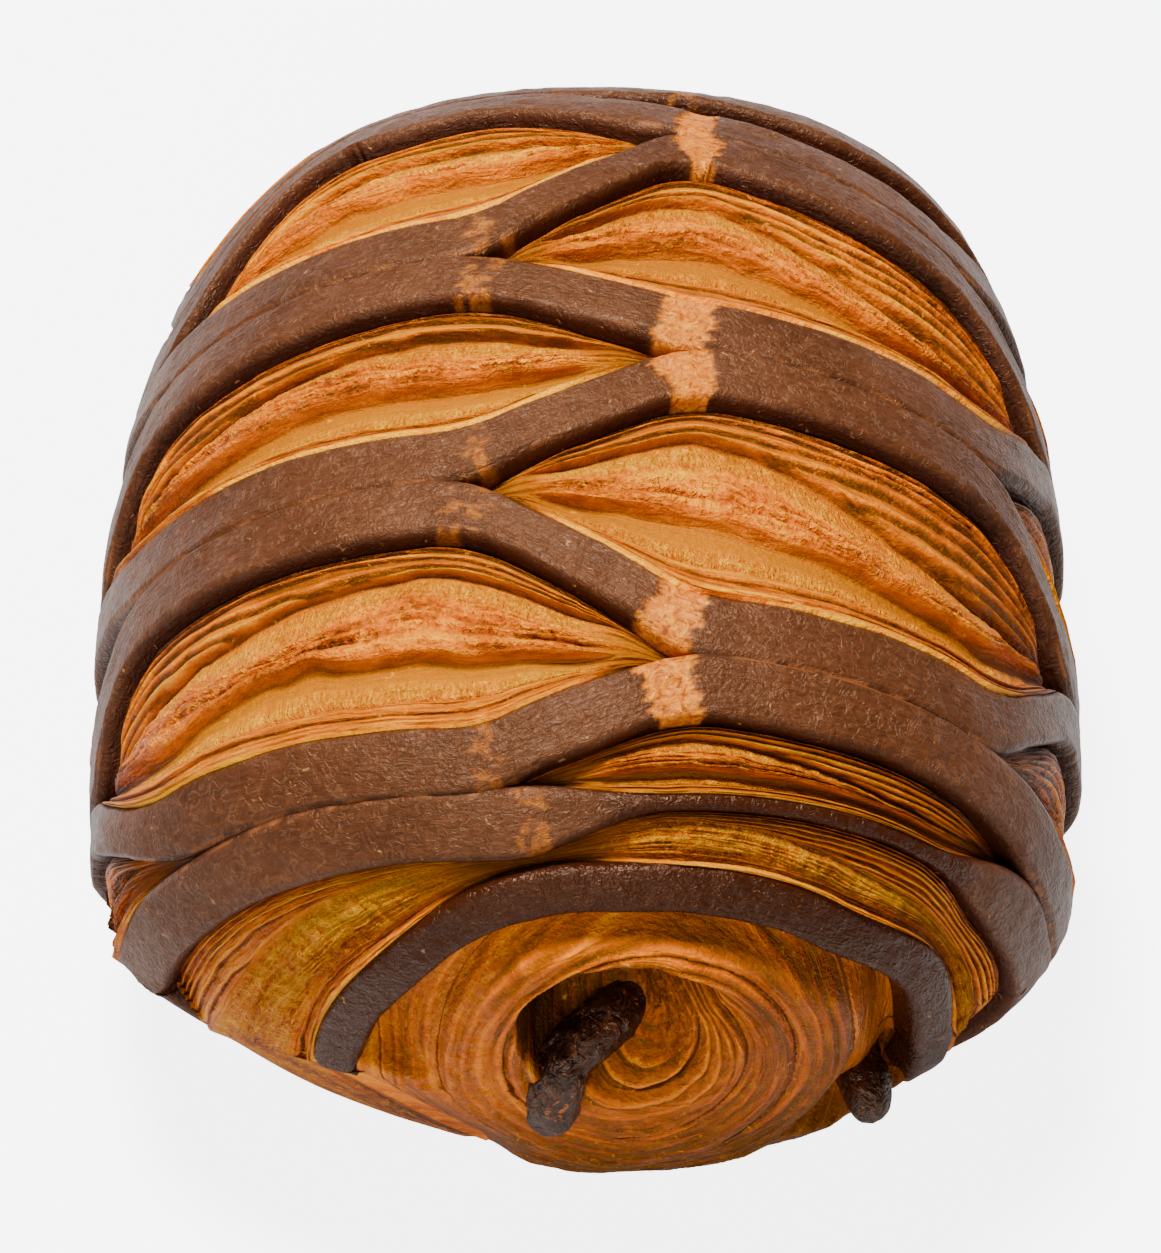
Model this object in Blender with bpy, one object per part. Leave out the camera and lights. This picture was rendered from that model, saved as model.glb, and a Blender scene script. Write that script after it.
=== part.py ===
"""Pain au chocolat with a cocoa dough lattice: a laminated dough roll with a rolled spiral at each
end, split cocoa dough bands over it, and two baked chocolate sticks that run through the roll.

The roll lies along Y, its better end towards -Y, and rests on Z = 0. Lengths here are millimetres.
Every surface is drawn on the same two coordinates: "along" is the distance over the crown of the
roll, from the middle, positive towards the back, and "round" is the distance round the belly of the
roll, from the crown, positive towards +X.
"""
import math

import bmesh
import bpy
import numpy as np

MM = 0.001

# The whole roll
LENGTH = 95.2
WIDTH = 80.0
HEIGHT = 50.7
WIDEST_HEIGHT = 17.0      # height above the table of the roll's widest line
UNDER_DEPTH = 18.4        # how far the belly would sag below that line, were the table not there
SPIRAL_CENTRE = (3.0, 22.0)   # X and Z of the spiral's middle, the same at both ends

# How square the roll is. 1 is an ellipse, less is squarer.
FRONT_NOSE, BACK_NOSE = 0.57, 1.02
FRONT_TAPER, BACK_TAPER = 0.83, 0.38      # the width towards each end
FRONT_SLOPE, BACK_SLOPE = 0.67, 0.59      # the crown towards each end
UNDER_SLOPE = 0.44
UNDER_TAPER = (0.7, 0.1)  # how much more the lower half draws in at the front, on the left and right
SIDE_SQUARE, CROWN_SQUARE, UNDER_SQUARE = 0.87, 0.96, 1.2
BULGE, BULGE_SHIFT = 0.045, 0.6           # swelling of the sides, and its lean to the left
BULGE_AT, BULGE_SPREAD = -0.68, 0.16      # its place and spread, as travel along the roll
SPIRAL_DRIFT = 0.92       # how soon the rings drift from the roll's middle to the spiral's

# Cocoa dough
BAND_WIDTH = 5.6
BAND_THICK = 2.1
FIT_GAP = 0.55            # air between the cocoa dough and the plain dough
PAIR_STEP = 4.7           # spacing of two bands that lie joined side by side
THIN_WIDTH = 1.3          # the last band of the lattice, where the dough has stretched it
BAND_END = 80.0           # the bands run this far round, to just above the table
CREASE = 0.14             # every other band lies this much lower, which creases a joined pair

# Where joined pairs swap partners, as distances round, and where the pairs lie along the roll there.
# An even pair joins bands 1-2, 3-4 ..., and an odd pair joins bands 2-3, 4-5 ...
SWAPS = (-80.0, -54.0, -41.0, -27.0, -9.3, 8.3, 36.0, 49.0, 80.0)
ODD_SIDE = (False, False, True, True, True, False, False, True, True)
PAIRS = (
    (17.0, -1.8, -20.5),
    (18.5, -1.8, -21.5),
    (20.8, 11.4, -10.6, -36.0),
    (38.5, 12.0, -11.2, -37.6),
    (40.8, 12.6, -12.2, -39.4),
    (31.0, 1.7, -28.3),
    (24.0, -0.6, -28.6),
    (29.0, 10.0, -14.0, -34.0),
    (25.0, 9.0, -13.0, -31.0),
)
LONE_BACK = (32.0, 34.0, 0.0, 0.0, 0.0, 42.5, 37.0, 0.0, 0.0)
LONE_FRONT = (-33.0, -36.5, 0.0, 0.0, 0.0, -39.9, -38.2, 0.0, 0.0)
LATTICE_BANDS = 8
CORNER = 2.8              # how far before and after a corner a band starts to turn
NARROWING = 0.7           # how much a band thins where it leans, because it is stretched there
END_ARC_ROUND = (-62.0, -37.0, 0.0, 30.0, 48.0, 57.0, 70.0)
FRONT_ARC_ALONG = (-48.6, -49.2, -46.7, -46.0, -44.1, -44.4, -41.5)
BACK_ARC_ALONG = (46.0, 49.0, 49.5, 48.5, 47.0, 46.0, 45.0)
END_ARC_WIDTH = 3.8
FRONT_ARC_SPAN = (-60.0, 69.0)            # how far round the end arcs run
BACK_ARC_SPAN = (-60.0, 60.0)

# Openings between the bands, where the layers burst through
VALLEY = 2.2              # depth of the fold behind each opening, below the bare roll
CREST = 1.7               # height of the burst dough over the bare roll
VALLEY_AT, CREST_AT = 0.2, 0.6
RELIEF_MARGIN = 1.9       # level dough beside each band, so that the layers stay clear of it
END_SWELL = 4.0           # past the bands, the dough swells out to the skin within this distance

# Rolled ends
HOLLOW = (3.2, 27.0, 8.6, 7.6, 12.0)      # X, Z, half width, half height and depth of the middle
POCKET = (20.6, 17.0, 5.2, 7.0, 5.0)      # the same, where the outer wrap ends over the second stick
SPIRAL_PITCH = 5.4
SPIRAL_STEP = 1.3
SPIRAL_REACH = 16.0       # the spiral covers this much of the roll's end, from its middle

# Chocolate sticks
STICK_WIDE, STICK_HIGH = 4.0, 3.8
CORE_STICK = ((-2.8, -49.0, 17.3), (-2.4, -48.2, 20.3), (-1.4, -46.4, 22.8), (1.5, -43.5, 24.0),
              (5.0, -39.8, 23.2), (6.0, -33.0, 24.0), (4.5, 0.0, 26.0), (4.0, 36.0, 25.5), (3.2, 50.6, 23.5))
SIDE_STICK = ((21.9, -46.4, 14.5), (21.5, -44.4, 15.5), (20.7, -40.0, 15.4),
              (20.5, -30.0, 15.0), (20.0, 0.0, 14.5), (20.5, 34.0, 14.5), (21.3, 45.5, 14.2))
STICK_CLEAR = 0.35

# Mesh fineness
ROWS_MIDDLE, ROWS_END = 34, 13
COLUMNS_TOP, COLUMNS_SIDE, COLUMNS_UNDER = 43, 5, 4
BAND_STEP = 4.2
STICK_SIDES, STICK_RINGS = 10, 24


# Finishes
DOUGH_COLOUR = (0.6, 0.27, 0.06)
COCOA_COLOUR = (0.09, 0.035, 0.02)
CHOCOLATE_COLOUR = (0.03, 0.014, 0.009)


def power(value, exponent):
    """A power that keeps its sign, as a squared-off circle needs."""
    return np.sign(value) * np.abs(value) ** exponent


def shell(travel, turn):
    """The roll's outer skin, over the cocoa bands. Travel goes from -1 at the front end to 1 at the back."""
    front = travel < 0
    nose = np.where(front, FRONT_NOSE, BACK_NOSE)
    closing = np.sqrt(np.clip(1 - np.abs(travel) ** (2 / nose), 1e-12, 1))
    wide = closing ** np.where(front, FRONT_TAPER, BACK_TAPER)
    crown = closing ** np.where(front, FRONT_SLOPE, BACK_SLOPE)
    under = closing ** np.where(front, UNDER_SLOPE, BACK_SLOPE)
    y = LENGTH / 2 * travel
    across, upward = np.cos(turn), np.sin(turn)
    draw_in = np.where(front, np.where(across < 0, *UNDER_TAPER), 0)
    tuck = 1 - (1 - closing ** draw_in) * np.clip(-upward, 0, 1) ** 0.7
    swell = np.exp(-((travel - BULGE_AT) / BULGE_SPREAD) ** 2)
    x = WIDTH / 2 * wide * tuck * (1 + BULGE * swell) * power(across, SIDE_SQUARE)
    x = x - BULGE_SHIFT * swell + SPIRAL_CENTRE[0] * (1 - crown) ** SPIRAL_DRIFT
    z = WIDEST_HEIGHT * crown + SPIRAL_CENTRE[1] * (1 - crown)
    z = z + np.where(
        upward > 0,
        (HEIGHT - WIDEST_HEIGHT) * crown * power(upward, CROWN_SQUARE),
        UNDER_DEPTH * under * power(upward, UNDER_SQUARE),
    )
    return np.stack(np.broadcast_arrays(x, y, z), axis=-1)


def distance_table(points):
    return np.concatenate([[0], np.cumsum(np.linalg.norm(np.diff(points, axis=0), axis=1))])


TRAVELS = np.sin(np.linspace(-math.pi / 2, math.pi / 2, 4001))
CROWN_TABLE = distance_table(shell(TRAVELS, np.full_like(TRAVELS, math.pi / 2)))
CROWN_TABLE = CROWN_TABLE - np.interp(0, TRAVELS, CROWN_TABLE)
FRONT_END, BACK_END = CROWN_TABLE[0], CROWN_TABLE[-1]
TURNS = np.linspace(math.pi / 2, -3 * math.pi / 2, 2001)
ROUND_TABLE = distance_table(shell(np.zeros_like(TURNS), TURNS))
GIRTH = ROUND_TABLE[-1]


def skin(along, around):
    """The outer skin at distances along and round."""
    travel = np.interp(along, CROWN_TABLE, TRAVELS)
    turn = np.interp(np.mod(around, GIRTH), ROUND_TABLE, TURNS)
    return shell(travel, turn)


def skin_frame(along, around):
    """The skin with its two tangents, for one millimetre along and round, and its outward normal."""
    nudge = 0.05
    inner = np.clip(along, FRONT_END + 0.4, BACK_END - 0.4)
    forward = (skin(inner + nudge, around) - skin(inner - nudge, around)) / (2 * nudge)
    sideways = (skin(inner, around + nudge) - skin(inner, around - nudge)) / (2 * nudge)
    normal = np.cross(sideways, forward)
    normal /= np.maximum(np.linalg.norm(normal, axis=-1, keepdims=True), 1e-12)
    return skin(along, around), forward, sideways, normal


def ease(value, stations, levels):
    """Smooth steps from level to level, flat at each station."""
    value = np.clip(value, stations[0], stations[-1])
    place = np.clip(np.searchsorted(stations, value, side="right") - 1, 0, len(stations) - 2)
    start, stop = np.take(stations, place), np.take(stations, place + 1)
    share = (value - start) / (stop - start)
    share = share * share * (3 - 2 * share)
    return np.take(levels, place) * (1 - share) + np.take(levels, place + 1) * share


def bend(value, stations, levels):
    """Straight runs from level to level, with the corners rounded off."""
    nearby = np.linspace(-CORNER, CORNER, 7)
    return np.mean([np.interp(value + step, stations, levels) for step in nearby], axis=0)


def band_levels(band):
    """Where one lattice band lies along the roll at each swap. Band 0 is the back one."""
    levels = []
    for odd, pairs, back, front in zip(ODD_SIDE, PAIRS, LONE_BACK, LONE_FRONT):
        pair, second = divmod(band if odd else band - 1, 2)
        if pair < 0:
            levels.append(back)
        elif pair >= len(pairs):
            levels.append(front)
        else:
            levels.append(pairs[pair] + PAIR_STEP * (0.5 - second))
    return levels


def band_along(band, around):
    return bend(around, SWAPS, band_levels(band))


def band_width(band, around):
    """The last band thins out on its right, where the opening in front of it has stretched it."""
    if band < LATTICE_BANDS - 1:
        return np.full_like(around, BAND_WIDTH)
    return ease(around, (-9.0, 8.0, 34.0, 48.0), (BAND_WIDTH, THIN_WIDTH, THIN_WIDTH, BAND_WIDTH))


def arc_along(levels, around):
    return ease(around, END_ARC_ROUND, levels)


def band_lines():
    """Every cocoa band from back to front: where it lies along the roll, and its width there."""
    arc_width = lambda around: np.full_like(around, END_ARC_WIDTH)
    lines = [(lambda around: arc_along(BACK_ARC_ALONG, around), arc_width)]
    for band in range(LATTICE_BANDS):
        lines.append((lambda around, k=band: band_along(k, around),
                      lambda around, k=band: band_width(k, around)))
    return lines + [(lambda around: arc_along(FRONT_ARC_ALONG, around), arc_width)]


def line_and_step(line, around):
    """A band's centre line, its lean, and one millimetre across it, less where the band is stretched."""
    nudge = 0.05
    along = line(around)
    lean = (line(around + nudge) - line(around - nudge)) / (2 * nudge)
    _, forward, sideways, _ = skin_frame(along, around)
    run = forward * lean[..., None] + sideways
    # Across the band is the step whose dot product with the run is nothing, on the stretched skin.
    step_along = np.sum(run * sideways, axis=-1)
    step_round = -np.sum(run * forward, axis=-1)
    length = np.linalg.norm(forward * step_along[..., None] + sideways * step_round[..., None], axis=-1)
    narrow = (1 + lean ** 2) ** NARROWING
    return along, lean, step_along / length / narrow, step_round / length / narrow


def band_reach(line, width, around):
    """A band's middle, and how far either edge lies from it along the roll."""
    along, lean, step_along, step_round = line_and_step(line, around)
    return along, width(around) / 2 * np.abs(step_along - lean * step_round)


def relief(along, around):
    """How far the plain dough stands over the skin: sunk under the bands, burst between them."""
    around = np.mod(around + GIRTH / 2, GIRTH) - GIRTH / 2
    height = np.full_like(along, -BAND_THICK - FIT_GAP)
    reaches = [band_reach(line, width, around) for line, width in band_lines()]
    for (back, back_reach), (front, front_reach) in zip(reaches, reaches[1:]):
        near = back - back_reach - RELIEF_MARGIN
        far = front + front_reach + RELIEF_MARGIN
        gap = np.maximum(near - far, 1e-6)
        share = np.clip((near - along) / gap, 0, 1)
        size = np.clip((gap - 1) / 6, 0, 1) * np.clip((BAND_END - np.abs(around)) / 16, 0, 1)
        height += ease(share, (0, VALLEY_AT, CREST_AT, 1), (0, -VALLEY, CREST, 0)) * size
    (back, back_reach), (front, front_reach) = reaches[0], reaches[-1]
    past_bands = np.maximum(along - back - back_reach, front - front_reach - along)
    past_bands = np.maximum(past_bands, np.abs(around) - BAND_END)
    share = np.clip((past_bands - RELIEF_MARGIN) / END_SWELL, 0, 1)
    return height * (1 - share * share * (3 - 2 * share))


def bowl(points, shape):
    """How deep a round hollow sinks into the roll's end at these points."""
    x, z, half_width, half_height, depth = shape
    away = np.hypot((points[..., 0] - x) / half_width, (points[..., 2] - z) / half_height)
    share = np.clip(1.25 - away, 0, 1)
    return depth * share * share * (3 - 2 * share)


def end_depth(points, along):
    """How far the rolled ends are cut back along Y: the spiral's steps, its hollow and the pocket."""
    from_middle = np.hypot(points[..., 0] - SPIRAL_CENTRE[0], points[..., 2] - SPIRAL_CENTRE[1])
    turn = np.arctan2(points[..., 2] - SPIRAL_CENTRE[1], points[..., 0] - SPIRAL_CENTRE[0])
    wind = np.mod(from_middle / SPIRAL_PITCH + turn / (2 * math.pi), 1)
    to_end = np.minimum(along - FRONT_END, BACK_END - along)
    share = np.clip((SPIRAL_REACH - to_end) / 3, 0, 1)
    step = SPIRAL_STEP * (0.5 + 0.5 * np.cos(2 * math.pi * wind)) * share
    reach = np.clip((SPIRAL_REACH + 5 - to_end) / 5, 0, 1)
    return step + (bowl(points, HOLLOW) + bowl(points, POCKET)) * reach


def dough_points(along, around):
    base, _, _, normal = skin_frame(along, around)
    base = base + normal * relief(along, around)[..., None]
    depth = end_depth(base, along)
    base[..., 1] += np.where(along < 0, depth, -depth)
    base[..., 2] = np.maximum(base[..., 2], 0)
    return base


def mesh_object(name, points, faces):
    mesh = bpy.data.meshes.new(name)
    mesh.from_pydata([tuple(p * MM) for p in points], [], faces)
    bm = bmesh.new()
    bm.from_mesh(mesh)
    bmesh.ops.remove_doubles(bm, verts=bm.verts, dist=1e-7)
    bmesh.ops.recalc_face_normals(bm, faces=bm.faces)
    bm.to_mesh(mesh)
    bm.free()
    mesh.shade_smooth()
    obj = bpy.data.objects.new(name, mesh)
    bpy.context.scene.collection.objects.link(obj)
    return obj


def ring_faces(rings, sides):
    """Quads between closed rings of points, ring after ring."""
    faces = []
    for ring in range(rings - 1):
        for side in range(sides):
            after = (side + 1) % sides
            faces.append((ring * sides + side, ring * sides + after,
                          (ring + 1) * sides + after, (ring + 1) * sides + side))
    return faces


def make_dough():
    """The laminated roll: rings of points from the front spiral's middle to the back one's."""
    end_share = np.linspace(0, 1, ROWS_END + 1)[1:]
    front = FRONT_END + SPIRAL_REACH * end_share
    back = BACK_END - SPIRAL_REACH * end_share[::-1]
    middle = np.linspace(front[-1], back[0], ROWS_MIDDLE + 1)[1:-1]
    rows = np.concatenate([front, middle, back])
    top = np.linspace(SWAPS[1], SWAPS[-2], COLUMNS_TOP)
    right = np.linspace(SWAPS[-2], BAND_END, COLUMNS_SIDE + 1)[1:]
    under = np.linspace(BAND_END, GIRTH - BAND_END, COLUMNS_UNDER + 2)[1:-1]
    left = np.linspace(-BAND_END, SWAPS[1], COLUMNS_SIDE + 1)[:-1] + GIRTH
    columns = np.concatenate([top, right, under, left])
    along, around = np.meshgrid(rows, columns, indexing="ij")
    points = dough_points(along, around)
    sides = len(columns)
    faces = ring_faces(len(rows), sides)
    points = list(points.reshape(-1, 3))
    for ring, end in ((0, FRONT_END), (len(rows) - 1, BACK_END)):
        tip = dough_points(np.full((1, 3), end), np.array([[0.0, 1.0, 2.0]]))[0, 0]
        points.append(tip)
        first = ring * sides
        faces += [(first + s, first + (s + 1) % sides, len(points) - 1) for s in range(sides)]
    return mesh_object("dough_roll", points, faces)


def band_section(width):
    """Distances across and heights over the skin, round one band with sloped shoulders."""
    half = width / 2
    shoulder = min(1.1, half * 0.7)
    side = [(half, -BAND_THICK), (half, -shoulder), (half - shoulder, 0)]
    return side + [(-across, height) for across, height in reversed(side)]


def make_band(name, line, widths, around, drop):
    """One cocoa band, swept over the skin along its centre line."""
    along, _, step_along, step_round = line_and_step(line, around)
    points = []
    for i, width in enumerate(widths):
        section = np.array(band_section(width))
        section[:, 1] -= drop * (section[:, 1] > -BAND_THICK)
        place_along = along[i] + section[:, 0] * step_along[i]
        place_round = around[i] + section[:, 0] * step_round[i]
        skin_points, _, _, normals = skin_frame(place_along, place_round)
        points += list(skin_points + normals * section[:, 1:])
    sides = len(section)
    faces = ring_faces(len(widths), sides)
    faces += [tuple(range(sides)), tuple(range(len(points) - sides, len(points)))]
    return mesh_object(name, points, faces)


def stations(start, stop):
    return np.linspace(start, stop, int((stop - start) / BAND_STEP))


def make_lattice():
    """The cocoa dough net: eight bands, each joined to one neighbour at a time."""
    pieces = bpy.data.collections.new("lattice_bands")
    around = stations(-BAND_END, BAND_END)
    for band, (line, width) in enumerate(band_lines()[1:-1]):
        piece = make_band(f"band_{band}", line, width(around), around, CREASE * (band % 2))
        bpy.context.scene.collection.objects.unlink(piece)
        pieces.objects.link(piece)
    first = pieces.objects[0]
    pieces.objects.unlink(first)
    bpy.context.scene.collection.objects.link(first)
    first.name = "cocoa_lattice"
    join = first.modifiers.new("join", "BOOLEAN")
    join.operation = "UNION"
    join.operand_type = "COLLECTION"
    join.collection = pieces
    join.solver = "MANIFOLD"
    apply_modifiers(first)
    for piece in list(pieces.objects):
        bpy.data.objects.remove(piece)
    bpy.data.collections.remove(pieces)
    return first


def apply_modifiers(obj):
    graph = bpy.context.evaluated_depsgraph_get()
    finished = bpy.data.meshes.new_from_object(obj.evaluated_get(graph))
    obj.modifiers.clear()
    obj.data = finished


def smooth_path(knots, count):
    """Points on a smooth curve through the knots."""
    knots = np.array(knots)
    padded = np.vstack([2 * knots[0] - knots[1], knots, 2 * knots[-1] - knots[-2]])
    points = []
    for place in np.linspace(0, len(knots) - 1, count):
        i = min(int(place), len(knots) - 2)
        t = place - i
        a, b, c, d = padded[i:i + 4]
        points.append(0.5 * (2 * b + (c - a) * t + (2 * a - 5 * b + 4 * c - d) * t * t
                             + (3 * b - a - 3 * c + d) * t ** 3))
    return np.array(points)


def make_stick(name, knots, grow):
    """A chocolate stick: a flattened oval swept along its path, with rounded ends."""
    path = smooth_path(knots, STICK_RINGS)
    tangents = np.gradient(path, axis=0)
    tangents /= np.linalg.norm(tangents, axis=1, keepdims=True)
    distance = distance_table(path)
    to_end = np.minimum(distance, distance[-1] - distance)
    points = []
    for centre, tangent, run in zip(path, tangents, to_end):
        level = np.cross(tangent, (0, 0, 1))
        level /= np.linalg.norm(level)
        upright = np.cross(level, tangent)
        narrow = 0.62 + 0.38 * math.sqrt(1 - (1 - min(run / 3, 1)) ** 2)
        for side in range(STICK_SIDES):
            angle = 2 * math.pi * side / STICK_SIDES
            wide = (STICK_WIDE / 2 * narrow + grow) * power(math.cos(angle), 0.8)
            high = (STICK_HIGH / 2 * narrow + grow) * power(math.sin(angle), 0.8)
            points.append(centre + level * wide + upright * high)
    sides = STICK_SIDES
    faces = ring_faces(len(path), sides)
    faces += [tuple(range(sides)), tuple(range(len(points) - sides, len(points)))]
    return mesh_object(name, points, faces)


def cut(body, cutter):
    bore = body.modifiers.new("bore", "BOOLEAN")
    bore.operation = "DIFFERENCE"
    bore.object = cutter
    bore.solver = "EXACT"
    apply_modifiers(body)
    bpy.data.objects.remove(cutter)


def paint(obj, name, colour, roughness):
    """One Principled finish for each kind of dough and for the chocolate."""
    material = bpy.data.materials.get(name)
    if material is None:
        material = bpy.data.materials.new(name)
        material.use_nodes = True
        shader = material.node_tree.nodes["Principled BSDF"]
        shader.inputs["Base Color"].default_value = (*colour, 1)
        shader.inputs["Roughness"].default_value = roughness
        shader.inputs["Metallic"].default_value = 0
    obj.data.materials.clear()
    obj.data.materials.append(material)


def main():
    for obj in list(bpy.data.objects):
        bpy.data.objects.remove(obj)
    dough = make_dough()
    for name, knots in (("core_stick", CORE_STICK), ("side_stick", SIDE_STICK)):
        cut(dough, make_stick(name + "_bore", knots, STICK_CLEAR))
        paint(make_stick(name, knots, 0), "baked_chocolate", CHOCOLATE_COLOUR, 0.35)
    paint(dough, "baked_dough", DOUGH_COLOUR, 0.5)
    paint(make_lattice(), "cocoa_dough", COCOA_COLOUR, 0.5)
    arcs = (("cocoa_back_arc", band_lines()[0], BACK_ARC_SPAN),
            ("cocoa_front_arc", band_lines()[-1], FRONT_ARC_SPAN))
    for name, (line, width), span in arcs:
        around = stations(*span)
        paint(make_band(name, line, width(around), around, 0), "cocoa_dough", COCOA_COLOUR, 0.5)


main()
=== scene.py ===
"""A baked two-tone pain au chocolat: a golden laminated roll under a net of cocoa dough.

The file follows the pastry as it is made: the roll of folded dough, the layers that burst through
its slits, the cocoa bands over them, the rolled ends, and the chocolate sticks. Lengths are
millimetres. "Along" is a distance over the crown from the middle of the roll, positive towards the
back, and "round" is a distance round the belly from the crown, positive to the right.
"""
import math

import bpy
import numpy as np
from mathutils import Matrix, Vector


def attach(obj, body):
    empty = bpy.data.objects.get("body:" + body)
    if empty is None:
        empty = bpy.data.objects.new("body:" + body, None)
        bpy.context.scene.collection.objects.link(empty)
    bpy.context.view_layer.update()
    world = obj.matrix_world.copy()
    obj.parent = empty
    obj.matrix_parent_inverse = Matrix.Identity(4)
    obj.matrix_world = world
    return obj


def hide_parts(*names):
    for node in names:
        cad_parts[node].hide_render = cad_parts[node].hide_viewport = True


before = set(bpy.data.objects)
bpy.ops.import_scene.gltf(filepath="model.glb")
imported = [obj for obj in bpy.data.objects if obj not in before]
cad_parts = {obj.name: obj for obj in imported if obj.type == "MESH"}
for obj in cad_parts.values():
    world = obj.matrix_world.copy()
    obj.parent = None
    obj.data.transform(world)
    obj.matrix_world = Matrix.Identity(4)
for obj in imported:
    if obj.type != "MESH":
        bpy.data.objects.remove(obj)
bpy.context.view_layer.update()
bpy.ops.object.select_all(action="DESELECT")

# ---------------------------------------------------------------------------------------------
# The roll. Butter and dough folded into sheets, rolled up round two chocolate sticks and baked
# on its seam. Most of it is hidden. Its evenly browned underside stood on the tray.
# ---------------------------------------------------------------------------------------------

MM = 0.001
LENGTH, WIDTH, HEIGHT = 95.2, 80.0, 50.7
WIDEST_HEIGHT, UNDER_DEPTH = 17.0, 18.4
SPIRAL_CENTRE, SPIRAL_DRIFT = (3.0, 22.0), 0.92    # across and up, where the skin closes at its ends
# How blunt each end is, then how fast its width, its crown and its underside close in.
FRONT_NOSE, BACK_NOSE = 0.57, 1.02
FRONT_TAPER, BACK_TAPER = 0.83, 0.38
FRONT_SLOPE, BACK_SLOPE = 0.67, 0.59
UNDER_SLOPE, UNDER_TAPER = 0.44, (0.7, 0.1)
SIDE_SQUARE, CROWN_SQUARE, UNDER_SQUARE, TUCK_SQUARE = 0.87, 0.96, 1.2, 0.7
# The roll swells a little near its front end.
BULGE, BULGE_SHIFT, BULGE_AT, BULGE_SPREAD = 0.045, 0.6, -0.68, 0.16

BAND_END = 80.0           # how far round the cocoa bands reach, on either side
BED = -2.5                # the dough's level under the cocoa, measured from the roll's outer skin
CORE = -6.5               # the level of the roll under its opened layers
UNDERSIDE = -0.3          # the level of its underside, which fades out past the bands' feet and its ends
UNDERSIDE_ROUND, UNDERSIDE_ALONG = (BAND_END - 4, BAND_END + 3), (43.5, 49.0)
CORE_REACH = 32.0         # how far towards its ends the roll reaches behind their hollows
FOOT_REACH = 14.0         # how much further it reaches near the table
FOOT_ROUND, FOOT_HEIGHT = (74.0, 82.0), (5.0, 10.0)
CORE_ROWS, CORE_COLUMNS, CORE_SEED = 160, 241, 3
NUDGE, POLE_MARGIN, WELD = 0.05, 0.4, 0.002
HILLS = 128               # random hills each way before they repeat
UV_UNIT = 100.0           # millimetres to a unit of a UV map


def power(value, exponent):
    """A power that keeps its sign, as a squared-off circle needs."""
    return np.sign(value) * np.abs(value) ** exponent


def shell(travel, turn):
    """The roll's outer skin. Travel goes from -1 at its front end to 1 at its back one."""
    front = travel < 0
    nose = np.where(front, FRONT_NOSE, BACK_NOSE)
    closing = np.sqrt(np.clip(1 - np.abs(travel) ** (2 / nose), 1e-12, 1))
    wide = closing ** np.where(front, FRONT_TAPER, BACK_TAPER)
    crown = closing ** np.where(front, FRONT_SLOPE, BACK_SLOPE)
    under = closing ** np.where(front, UNDER_SLOPE, BACK_SLOPE)
    y = LENGTH / 2 * travel
    across, upward = np.cos(turn), np.sin(turn)
    draw_in = np.where(front, np.where(across < 0, *UNDER_TAPER), 0)
    tuck = 1 - (1 - closing ** draw_in) * np.clip(-upward, 0, 1) ** TUCK_SQUARE
    swell = np.exp(-((travel - BULGE_AT) / BULGE_SPREAD) ** 2)
    x = WIDTH / 2 * wide * tuck * (1 + BULGE * swell) * power(across, SIDE_SQUARE)
    x = x - BULGE_SHIFT * swell + SPIRAL_CENTRE[0] * (1 - crown) ** SPIRAL_DRIFT
    z = WIDEST_HEIGHT * crown + SPIRAL_CENTRE[1] * (1 - crown)
    z = z + np.where(
        upward > 0,
        (HEIGHT - WIDEST_HEIGHT) * crown * power(upward, CROWN_SQUARE),
        UNDER_DEPTH * under * power(upward, UNDER_SQUARE),
    )
    return np.stack(np.broadcast_arrays(x, y, z), axis=-1)


def distance_table(points):
    return np.concatenate([[0], np.cumsum(np.linalg.norm(np.diff(points, axis=0), axis=1))])


TRAVELS = np.sin(np.linspace(-math.pi / 2, math.pi / 2, 4001))
CROWN_TABLE = distance_table(shell(TRAVELS, np.full_like(TRAVELS, math.pi / 2)))
CROWN_TABLE = CROWN_TABLE - np.interp(0, TRAVELS, CROWN_TABLE)
FRONT_END, BACK_END = CROWN_TABLE[0], CROWN_TABLE[-1]
TURNS = np.linspace(math.pi / 2, -3 * math.pi / 2, 2001)
ROUND_TABLE = distance_table(shell(np.zeros_like(TURNS), TURNS))
GIRTH = ROUND_TABLE[-1]


def skin(along, around):
    travel = np.interp(along, CROWN_TABLE, TRAVELS)
    turn = np.interp(np.mod(around, GIRTH), ROUND_TABLE, TURNS)
    return shell(travel, turn)


def skin_frame(along, around):
    """The skin, its tangents for one millimetre along and round, and its outward normal."""
    inner = np.clip(along, FRONT_END + POLE_MARGIN, BACK_END - POLE_MARGIN)
    forward = (skin(inner + NUDGE, around) - skin(inner - NUDGE, around)) / (2 * NUDGE)
    sideways = (skin(inner, around + NUDGE) - skin(inner, around - NUDGE)) / (2 * NUDGE)
    normal = np.cross(sideways, forward)
    normal /= np.maximum(np.linalg.norm(normal, axis=-1, keepdims=True), 1e-12)
    return skin(along, around), forward, sideways, normal


def on_skin(along, around, height):
    """Points at a height over the skin, which never go through the table."""
    base, _, _, normal = skin_frame(along, around)
    points = base + normal * height[..., None]
    points[..., 2] = np.maximum(points[..., 2], 0)
    return points


def smooth(value, low, high):
    """A soft step from 0 at the low end to 1 at the high one."""
    share = np.clip((value - low) / (high - low), 0, 1)
    return share * share * (3 - 2 * share)


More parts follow.
